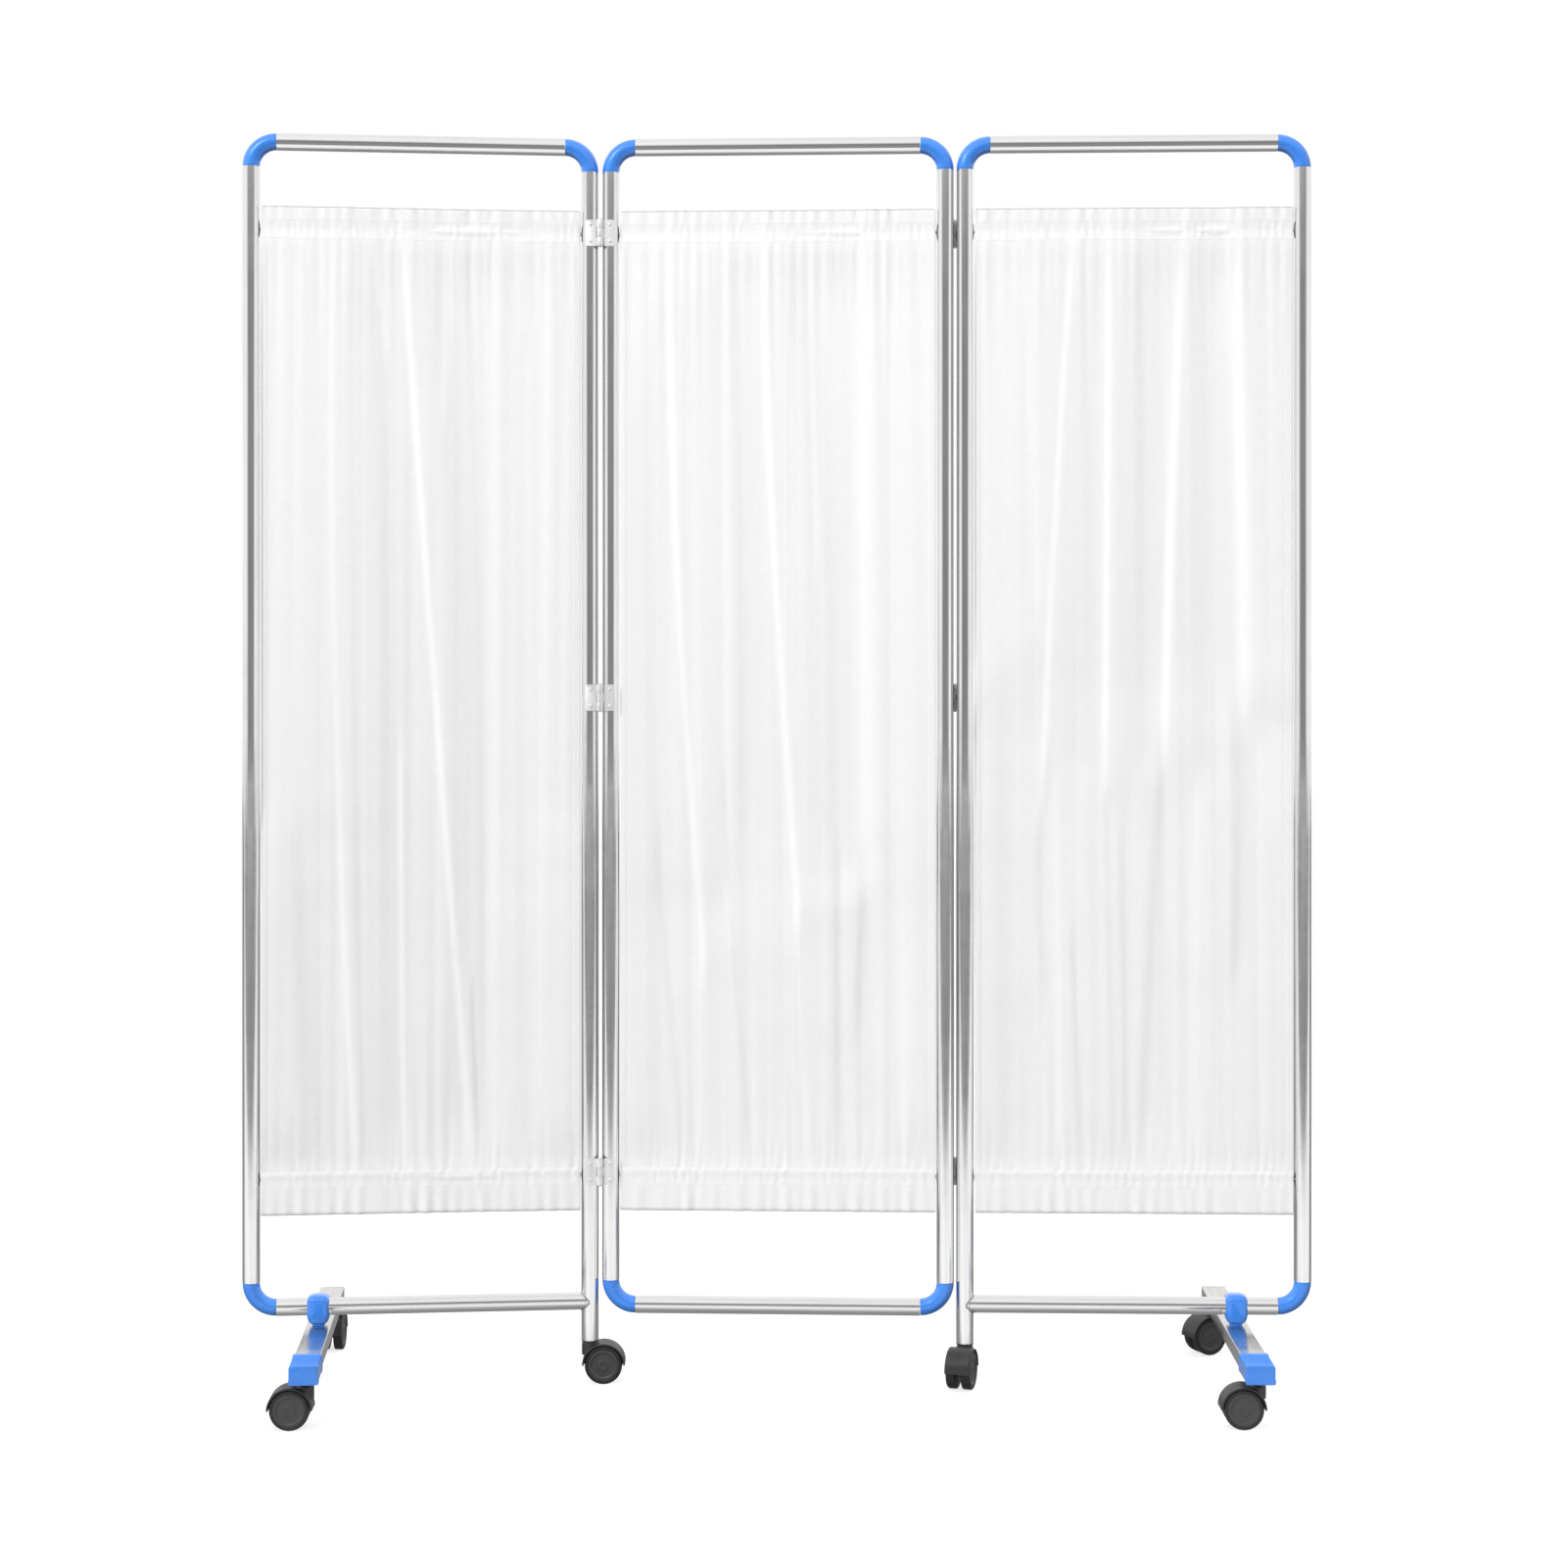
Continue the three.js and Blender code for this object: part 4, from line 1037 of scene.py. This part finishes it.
# Each fold's place across the curtain at its upper end, halfway and at its lower end, and the heights of its two
# ends, all as shares, then its half width in millimetres, and its slope, which is positive where the cloth comes
# forward to the right
FOLDS = {
    "left": [
        (0.225, 0.235, 0.305, 1, 0, 5, 0.3), (0.435, 0.545, 0.665, 1, 0.02, 5, 0.46),
        (0.34, 0.36, 0.39, 1, 0.88, 5, 0.2), (0.575, 0.575, 0.572, 1, 0.82, 5, 0.2),
        (0.715, 0.73, 0.73, 1, 0, 13, 0.2), (0.435, 0.44, 0.448, 0.44, 0, 4, 0.3),
        (0.885, 0.885, 0.9, 1, 0.05, 11, 0.1), (0.33, 0.4, 0.38, 1, 0, 26, -0.13),
        (0.52, 0.64, 0.55, 1, 0, 20, -0.15), (0.1, 0.14, 0.17, 0.36, 0.02, 20, -0.2),
        (0.66, 0.675, 0.7, 0.2, 0, 4, -0.42), (0.07, 0.07, 0.06, 1, 0.34, 34, 0.09),
        (0.87, 0.88, 0.89, 1, 0, 40, 0.07), (0.64, 0.68, 0.69, 1, 0.15, 5, -0.14),
        (0.275, 0.29, 0.325, 1, 0, 5, -0.16),
    ],
    "middle": [
        (0.15, 0.185, 0.265, 1, 0.26, 5, 0.36), (0.45, 0.49, 0.565, 1, 0.31, 5.5, 0.46),
        (0.765, 0.775, 0.78, 1, 0.35, 12, 0.36), (0.6, 0.61, 0.625, 1, 0.68, 5, 0.18),
        (0.33, 0.375, 0.435, 0.42, 0, 4.5, -0.17), (0.69, 0.69, 0.695, 0.34, 0, 6, -0.22),
        (0.12, 0.165, 0.225, 0.36, 0, 6, -0.18), (0.77, 0.765, 0.755, 0.34, 0.2, 7, -0.26),
        (0.08, 0.09, 0.11, 0.86, 0.05, 18, -0.12), (0.33, 0.39, 0.35, 0.92, 0.35, 28, -0.09),
        (0.56, 0.66, 0.66, 0.95, 0.36, 22, -0.12), (0.33, 0.335, 0.345, 1, 0.3, 6, 0.12),
        (0.93, 0.91, 0.91, 1, 0.1, 28, 0.1), (0.04, 0.06, 0.06, 1, 0.84, 14, 0.1), (0.56, 0.58, 0.6, 0.3, 0, 4, 0.16),
    ],
    "right": [
        (0.315, 0.26, 0.215, 1, 0.43, 4.5, 0.34), (0.425, 0.42, 0.412, 1, 0.45, 5, 0.44),
        (0.655, 0.625, 0.595, 1, 0.47, 6.5, 0.46), (0.8, 0.835, 0.85, 1, 0.52, 13, 0.46),
        (0.16, 0.18, 0.2, 1, 0.62, 9, 0.16), (0.23, 0.205, 0.22, 0.44, 0.24, 7, -0.2),
        (0.41, 0.425, 0.44, 0.45, 0.05, 5, -0.15), (0.59, 0.56, 0.53, 0.46, 0.1, 9, -0.21),
        (0.83, 0.83, 0.82, 0.5, 0.26, 10, -0.24), (0.31, 0.325, 0.335, 0.26, 0, 5, -0.22),
        (0.465, 0.472, 0.475, 0.36, 0, 5, -0.2), (0.52, 0.52, 0.51, 0.96, 0.46, 16, -0.16),
        (0.72, 0.715, 0.71, 1, 0.46, 15, -0.15), (0.33, 0.33, 0.32, 0.9, 0.46, 12, -0.1),
        (0.08, 0.09, 0.09, 0.52, 0.02, 26, -0.13), (0.09, 0.08, 0.07, 1, 0.5, 30, 0.09),
        (0.94, 0.94, 0.93, 1, 0.4, 16, 0.06), (0.7, 0.69, 0.68, 0.4, 0, 8, 0.14),
        (0.255, 0.265, 0.27, 0.4, 0.06, 7, 0.14),
    ],
}
CLOTH_SEED = {"left": 11, "middle": 23, "right": 37}


def eased(value, low, high):
    """0 below low, 1 above high, and a smooth rise between."""
    share = np.clip((value - low) / (high - low), 0, 1)
    return share * share * (3 - 2 * share)


def ripple(across, rng, slowest, fastest, drift=0, waves=7):
    """Uneven waves, between slowest and fastest of them over the width, mostly between -1 and 1."""
    places = [
        rng.uniform(slowest, fastest) * across + rng.uniform(0, 1) + rng.uniform(-1, 1) * drift for _ in range(waves)
    ]
    return sum(np.sin(2 * math.pi * place) for place in places) / math.sqrt(waves)


def fold_depth(panel, across, up, rng):
    """How far the hanging cloth stands back, in metres, at a share across and a share up."""
    slope = FINE_SLOPE * ripple(across, rng, 24, 60, 0.5 * up) + SOFT_SLOPE * ripple(across, rng, 9, 20, 0.8 * up)
    width = 2 * CLOTH_HALF_WIDTH
    for upper, middle, lower, start, stop, half, steep in FOLDS[panel]:
        fall = np.clip((start - up) / (start - stop), 0, 1)
        place = upper * (1 - fall) * (1 - 2 * fall) + middle * 4 * fall * (1 - fall) + lower * fall * (2 * fall - 1)
        reach = eased(up, stop - FOLD_FADE, stop) * (1 - eased(up, start, start + FOLD_FADE))
        slope = slope + steep * reach * np.exp(-(((across - place) * width / (half * MM)) ** 2))
    slope = slope - slope.mean(axis=1, keepdims=True)
    depth = -np.cumsum(slope, axis=1) * width / CLOTH_COLUMNS
    depth = depth - depth.mean(axis=1, keepdims=True)
    return FOLD_LIMIT * np.tanh(depth / FOLD_LIMIT)


def cloth_rows(top_rod, bottom_rod, top, bottom):
    """The cloth's way from the hem behind the top rod over the top edge, down the front and up behind the
    bottom rod: pairs of height and layer, 1 for the back and -1 for the front, with values between at a fold."""
    upper, lower = top_rod + POCKET_HALF, top_rod - POCKET_HALF
    under, over = bottom_rod - POCKET_HALF, bottom_rod + POCKET_HALF
    top_turn, bottom_turn = top - LAYER_OFFSET, bottom + LAYER_OFFSET

    def span(start, stop, count, layer):
        return [(start + (stop - start) * i / count, layer) for i in range(count)]

    def fold(height, way):
        angles = (0.6, math.pi / 2, math.pi - 0.6)
        return [(height + way * LAYER_OFFSET * math.sin(a), way * math.cos(a)) for a in angles]

    shares = [i / HANGING_ROWS for i in range(HANGING_ROWS)]
    drop = [lower + (over - lower) * (s + 0.0275 * math.sin(4 * math.pi * s)) for s in shares]
    rows = span(lower, upper, 10, 1) + span(upper, top_turn, 7, 1) + fold(top_turn, 1)
    rows += span(top_turn, upper, 7, -1) + span(upper, lower, 10, -1) + [(height, -1) for height in drop]
    rows += span(over, under, 10, -1) + span(under, bottom_turn, 8, -1) + fold(bottom_turn, -1)
    return rows + span(bottom_turn, under, 8, 1) + span(under, over, 9, 1) + [(over, 1)]


def cloth_points(panel, rows, rods, edges):
    """A grid of points, one row of columns for each of the cloth's rows."""
    rng = np.random.default_rng(CLOTH_SEED[panel])
    across = np.linspace(0, 1, CLOTH_COLUMNS + 1)[None, :]
    height, layer = np.array(rows).T[:, :, None]
    top, bottom = edges
    up = np.clip((height - bottom) / (top - bottom), 0, 1)

    def by_end(upper, lower):
        return np.where(up > 0.5, upper, lower)

    rod_height = by_end(*rods)
    from_rod = np.abs(height - rod_height)
    past_seam = np.maximum(from_rod - POCKET_HALF, 0)
    inwards = by_end(height < rod_height, height > rod_height)
    hanging = inwards & (from_rod > POCKET_HALF)
    in_pocket = np.clip(1 - from_rod / POCKET_HALF, 0, 1)
    edge_reach = by_end(top - rods[0], rods[1] - bottom) - POCKET_HALF
    frill = np.where(inwards, 0.0, np.clip(past_seam / edge_reach, 0, 1))
    size = np.clip(0.75 + 0.5 * ripple(across, rng, 3, 9), 0.15, 1.5)
    fine = by_end(ripple(across, rng, 24, 50) * size, ripple(across, rng, 22, 46) * size)
    fans = by_end(ripple(across, rng, 13, 30, 0.4 * up), ripple(across, rng, 12, 26, 0.4 * up))
    round_rod = np.sin(math.pi / 2 * np.clip(in_pocket / POCKET_ROUND, 0, 1))
    seam_forward = by_end(TOP_SEAM_FORWARD, np.where(inwards, BOTTOM_SEAM_FORWARD, HEM_SEAM_FORWARD))
    fullness = POCKET_FULLNESS * np.sin(math.pi * in_pocket) ** 2 + ROD_FULLNESS * in_pocket
    opening = LAYER_OFFSET + POCKET_SWELL * round_rod + fullness * np.clip(0.5 + 0.45 * fine, 0, 1)
    swing = -(seam_forward + LAYER_OFFSET) * np.exp(-past_seam / by_end(*SEAM_FADE))
    middle = np.where(hanging, swing, seam_forward * (round_rod - 1))
    middle = middle + frill * (FRILL_GATHER * fine + FRILL_FAN * fans - by_end(*FLARE))
    near, far = np.exp(-past_seam / NEAR_LENGTH) * hanging, np.exp(-past_seam / FAR_LENGTH) * hanging
    gathered = NEAR_GATHER * near * fine + by_end(*FAR_FAN) * far * (1 - near) * fans
    gathered = gathered + POCKET_FAN * (1 - in_pocket) * ~hanging * fans
    at_seam = by_end(*SEAM_HOLD)
    held = np.where(hanging, at_seam + (1 - at_seam) * eased(past_seam, 0, HOLD_LENGTH), at_seam)
    folded = fold_depth(panel, across, up, rng) * held
    room = ROD_ROOM + POCKET_ROOM * (1 - in_pocket)
    off_rod = np.where(layer < 0, np.minimum(folded, room), np.maximum(folded, -room))
    folded = np.where(in_pocket > 0, off_rod, folded)
    from_side = np.minimum(across, 1 - across) * 2 * CLOTH_HALF_WIDTH
    hem = SIDE_HEM_DEPTH * (1 - eased(from_side, SIDE_HEM - SIDE_HEM_STEP, SIDE_HEM))
    depth = middle + layer * np.where(hanging, 0.0, opening) + gathered + folded - hem * hanging
    return np.stack(np.broadcast_arrays((2 * across - 1) * CLOTH_HALF_WIDTH, depth, height), axis=2)


def lengths_along(points, axis):
    """How far along the cloth each point lies, in metres of cloth."""
    steps = np.linalg.norm(np.diff(points, axis=axis), axis=2)
    start = np.zeros_like(np.take(steps, [0], axis=axis))
    return np.concatenate([start, np.cumsum(steps, axis=axis)], axis=axis)


def cloth_mesh(points):
    """The sheet with its thickness, its UV map laid out in metres of cloth."""
    shape = points.shape[:2]
    index = np.arange(shape[0] * shape[1]).reshape(shape)
    quads = np.stack([index[:-1, :-1], index[1:, :-1], index[1:, 1:], index[:-1, 1:]], axis=2).reshape(-1, 4)
    mesh = mesh_from(points.reshape(-1, 3), faces=quads.tolist())
    across = lengths_along(points, 1).mean(axis=0)[None, :]
    along = lengths_along(points, 0).mean(axis=1)[:, None]
    flat = np.stack(np.broadcast_arrays(across, along), axis=2).reshape(-1, 2)
    layout = mesh.uv_layers.new(name="cloth")
    corners = np.empty(len(mesh.loops), np.int32)
    mesh.loops.foreach_get("vertex_index", corners)
    layout.data.foreach_set("uv", flat[corners].astype(np.float32).ravel())
    mesh = modified(mesh, "SOLIDIFY", thickness=CLOTH_THICKNESS, offset=0)
    return mesh, (float(across.max()), float(along.max()))


def add_curtain(panel):
    rods = [middle_of(f"{panel}_{level}_curtain_rod").z for level in ("top", "bottom")]
    low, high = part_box(f"{panel}_curtain")
    edges = (high.z - EDGE_DROP, low.z)
    rows = cloth_rows(*rods, *edges)
    heights = [height for height, _ in rows]
    points = cloth_points(panel, rows, rods, edges)
    mesh, flat = cloth_mesh(points)

    def add(name, mesh, finish, *replaced):
        return on_panel(panel, f"{panel}_{name}", mesh, Matrix(), finish, *replaced, crease=0)

    curtain = add("gathered_curtain", mesh, CURTAIN_CLOTH, f"{panel}_curtain")
    front = [i for i, (_, layer) in enumerate(rows) if layer == -1]
    seams = [rod + way * POCKET_HALF for rod in rods for way in (1, -1)]
    seam_rows = [min(front, key=lambda i: abs(heights[i] - seam)) for seam in seams]
    hem_column = round(SIDE_HEM / (2 * CLOTH_HALF_WIDTH) * CLOTH_COLUMNS) - 1
    lines = [points[row, 3:CLOTH_COLUMNS - 2].copy() for row in seam_rows]
    for column in (hem_column, CLOTH_COLUMNS - hem_column):
        lines.append(points[seam_rows[1] + 1:seam_rows[2], column].copy())
    for line in lines:
        line[:, 1] -= CLOTH_THICKNESS / 2 + 0.1 * MM
    sizes = {"Stitch": STITCH_LENGTH, "Gap": STITCH_GAP, "Thread Radius": THREAD_RADIUS}
    stitches = add("curtain_stitches", grown(STITCH_TREE, SEAM_THREAD, sizes, line_mesh(lines)), SEAM_THREAD)
    # A grey bead along the top and bottom edges draws a thin grey line there
    rolls = [points[heights.index(end(heights)), 1:CLOTH_COLUMNS].copy() for end in (max, min)]
    for line, way in zip(rolls, (-1, 1)):
        line[:, 2] += way * EDGE_ROLL_RADIUS / 2
    edge = add("curtain_rolled_edges", bead(GREY_EDGE_BEAD, rolls, EDGE_ROLL_RADIUS, 1.8 * MM), GREY_EDGE_BEAD)
    for level, height in zip(("top", "bottom"), rods):
        node = f"{panel}_{level}_curtain_rod"
        bar = post(ROD_RADIUS, -ROD_HALF_LENGTH, ROD_HALF_LENGTH, 32, 0.4 * MM)
        on_panel(panel, f"{node}_bar", bar, shift(0, 0, height) @ turn(90, "Y"), ROD_STEEL, node)


for panel in PANELS:
    add_curtain(panel)

# Floor, light and camera


def seen_directly(g):
    """1 for what the camera sees straight, in a reflection or through something, 0 for light that only falls."""
    rays = g.node("ShaderNodeLightPath")
    direct = g.math("MAXIMUM", rays["Is Camera Ray"], rays["Is Glossy Ray"])
    return g.math("MAXIMUM", direct, rays["Is Transmission Ray"]), rays["Is Glossy Ray"]


def glow(name, strength):
    """A plain card that shines evenly."""
    g = Finish(name)
    return g.close(g.shine(strength))


def backcloth_glow(level, rise, spread):
    """Grey in the middle and white towards its top and sides. rise and spread say between which places it fades."""
    g = Finish("grey_backcloth")
    place = g.parts(g.node("ShaderNodeTexCoord")["Object"])
    higher = g.remap(place["Z"], *rise, level)
    outer = g.remap(g.math("ABSOLUTE", place["X"]), *spread, level)
    return g.close(g.shine(g.math("MAXIMUM", higher, outer)))


def floor_finish():
    """A pale floor that keeps soft shadows, runs out to white, and looks grey in reflections but for a lit patch."""
    g = Finish("pale_floor")
    paint, shadow_paint = [g.add("ShaderNodeBsdfDiffuse", {"Color": (*grey(level), 1)}) for level in (0.20, 0.42)]
    near = g.add("ShaderNodeAddShader", {0: shadow_paint, 1: g.shine(0.68)})
    place = g.node("ShaderNodeTexCoord")["Object"]
    distance = g.node("ShaderNodeVectorMath", {0: place}, operation="LENGTH")["Value"]
    shown = g.blend(g.remap(distance, *FLOOR_FADE), near, g.shine(1.0))
    ahead = g.parts(place)["Y"]
    patch = g.math("MULTIPLY", g.remap(ahead, *PATCH_START), g.remap(ahead, *PATCH_END, 1.0, 0.0))
    direct, glossy = seen_directly(g)
    seen = g.blend(glossy, shown, g.shine(g.remap(patch, 0.0, 1.0, *PATCH_LEVELS)))
    return g.close(g.blend(direct, paint, seen))


def stage_piece(name, mesh, material, place=Matrix()):
    mesh.materials.append(material)
    obj = linked(name, mesh)
    obj.matrix_world = place
    return obj


def reflected_only(obj):
    for kind in ("camera", "diffuse", "shadow", "transmission", "volume_scatter"):
        setattr(obj, f"visible_{kind}", False)


def flat_sheet(size_x, size_y):
    return mesh_from([(x, y, 0) for x, y in oblong(size_x, size_y, 0, 1)], faces=[(0, 1, 2, 3)])


def curved_backcloth(radius, half_turn, low, high, steps=24):
    """Part of a dome round the front of the screen, between two elevations."""
    points, faces = [], []
    for i in range(steps + 1):
        elevation = math.radians(low + (high - low) * i / steps)
        for j in range(steps + 1):
            azimuth = math.radians(half_turn * (2 * j / steps - 1))
            flat = radius * math.cos(elevation)
            points.append((flat * math.sin(azimuth), -flat * math.cos(azimuth), radius * math.sin(elevation)))
            if i < steps and j < steps:
                k = i * (steps + 1) + j
                faces.append((k, k + 1, k + steps + 2, k + steps + 1))
    return mesh_from(points, faces)


def add_lamp(name, kind, energy, direction, location=(0, 0, 0), **settings):
    """A lamp that shines along a direction and shows in no reflection."""
    lamp = bpy.data.lights.new(name, kind)
    lamp.energy = energy
    for setting, value in settings.items():
        setattr(lamp, setting, value)
    obj = linked(name, lamp)
    obj.location = location
    obj.rotation_euler = Vector(direction).to_track_quat("-Z", "Y").to_euler()
    obj.visible_glossy = False


FLOOR_FADE = (1.3, 2.6)
PATCH_START, PATCH_END, PATCH_LEVELS = (-0.03, -0.24), (-1.6, -2.2), (0.31, 1.08)
stage_piece("floor", flat_sheet(40, 40), floor_finish())
backcloth = curved_backcloth(radius=5.2, half_turn=54, low=-2, high=36)
backcloth_finish = backcloth_glow(level=0.27, rise=(1.6, 3.0), spread=(2.8, 4.2))
reflected_only(stage_piece("grey_backcloth", backcloth, backcloth_finish, shift(0, 0, 0.9)))
softbox_place, softbox_target = Vector((-2.0, -2.7, 3.6)), Vector((0, 0, 1.2))
softbox_aim = (softbox_target - softbox_place).to_track_quat("Z", "Y").to_matrix().to_4x4()
reflected_only(stage_piece("softbox", flat_sheet(1.4, 1.0), glow("softbox", 5.0), shift(*softbox_place) @ softbox_aim))

scene = bpy.context.scene
scene.world = bpy.data.worlds.new("studio")
sky = Graph(emptied(scene.world))
fill, backdrop = [sky.add("ShaderNodeBackground", {"Color": WHITE, "Strength": strength}) for strength in (0.78, 1.0)]
lit = sky.add("ShaderNodeMixShader", {0: seen_directly(sky)[0], 1: fill, 2: backdrop})
sky.node("ShaderNodeOutputWorld", {"Surface": lit})

add_lamp("key_lamp", "SUN", 1.76, (0.67, 0.67, -0.42), angle=math.radians(22))
add_lamp(
    "fill_lamp", "AREA", 18.5, (0.12, 1.0, -0.58), (-0.75, -1.95, 2.8), shape="RECTANGLE", size=3.0, size_y=1.6,
)
add_lamp("rear_lamp", "SUN", 1.7, (-0.72, -0.62, -0.40), angle=math.radians(30))

CAMERA_PLACE = (0.0093, -3.73, 0.987)
FOCAL_SHARE = 2648 / 1601
HORIZON_SHIFT = -85.5 / 1601
SENSOR_WIDTH = 36.0
view = bpy.data.cameras.new("photo_view")
view.sensor_width = SENSOR_WIDTH
view.sensor_fit = "HORIZONTAL"
view.lens = SENSOR_WIDTH * FOCAL_SHARE
view.shift_y = HORIZON_SHIFT
camera = linked("photo_view", view)
camera.location = CAMERA_PLACE
camera.rotation_euler = (math.pi / 2, 0, 0)
scene.camera = camera
scene.view_settings.view_transform = "Standard"
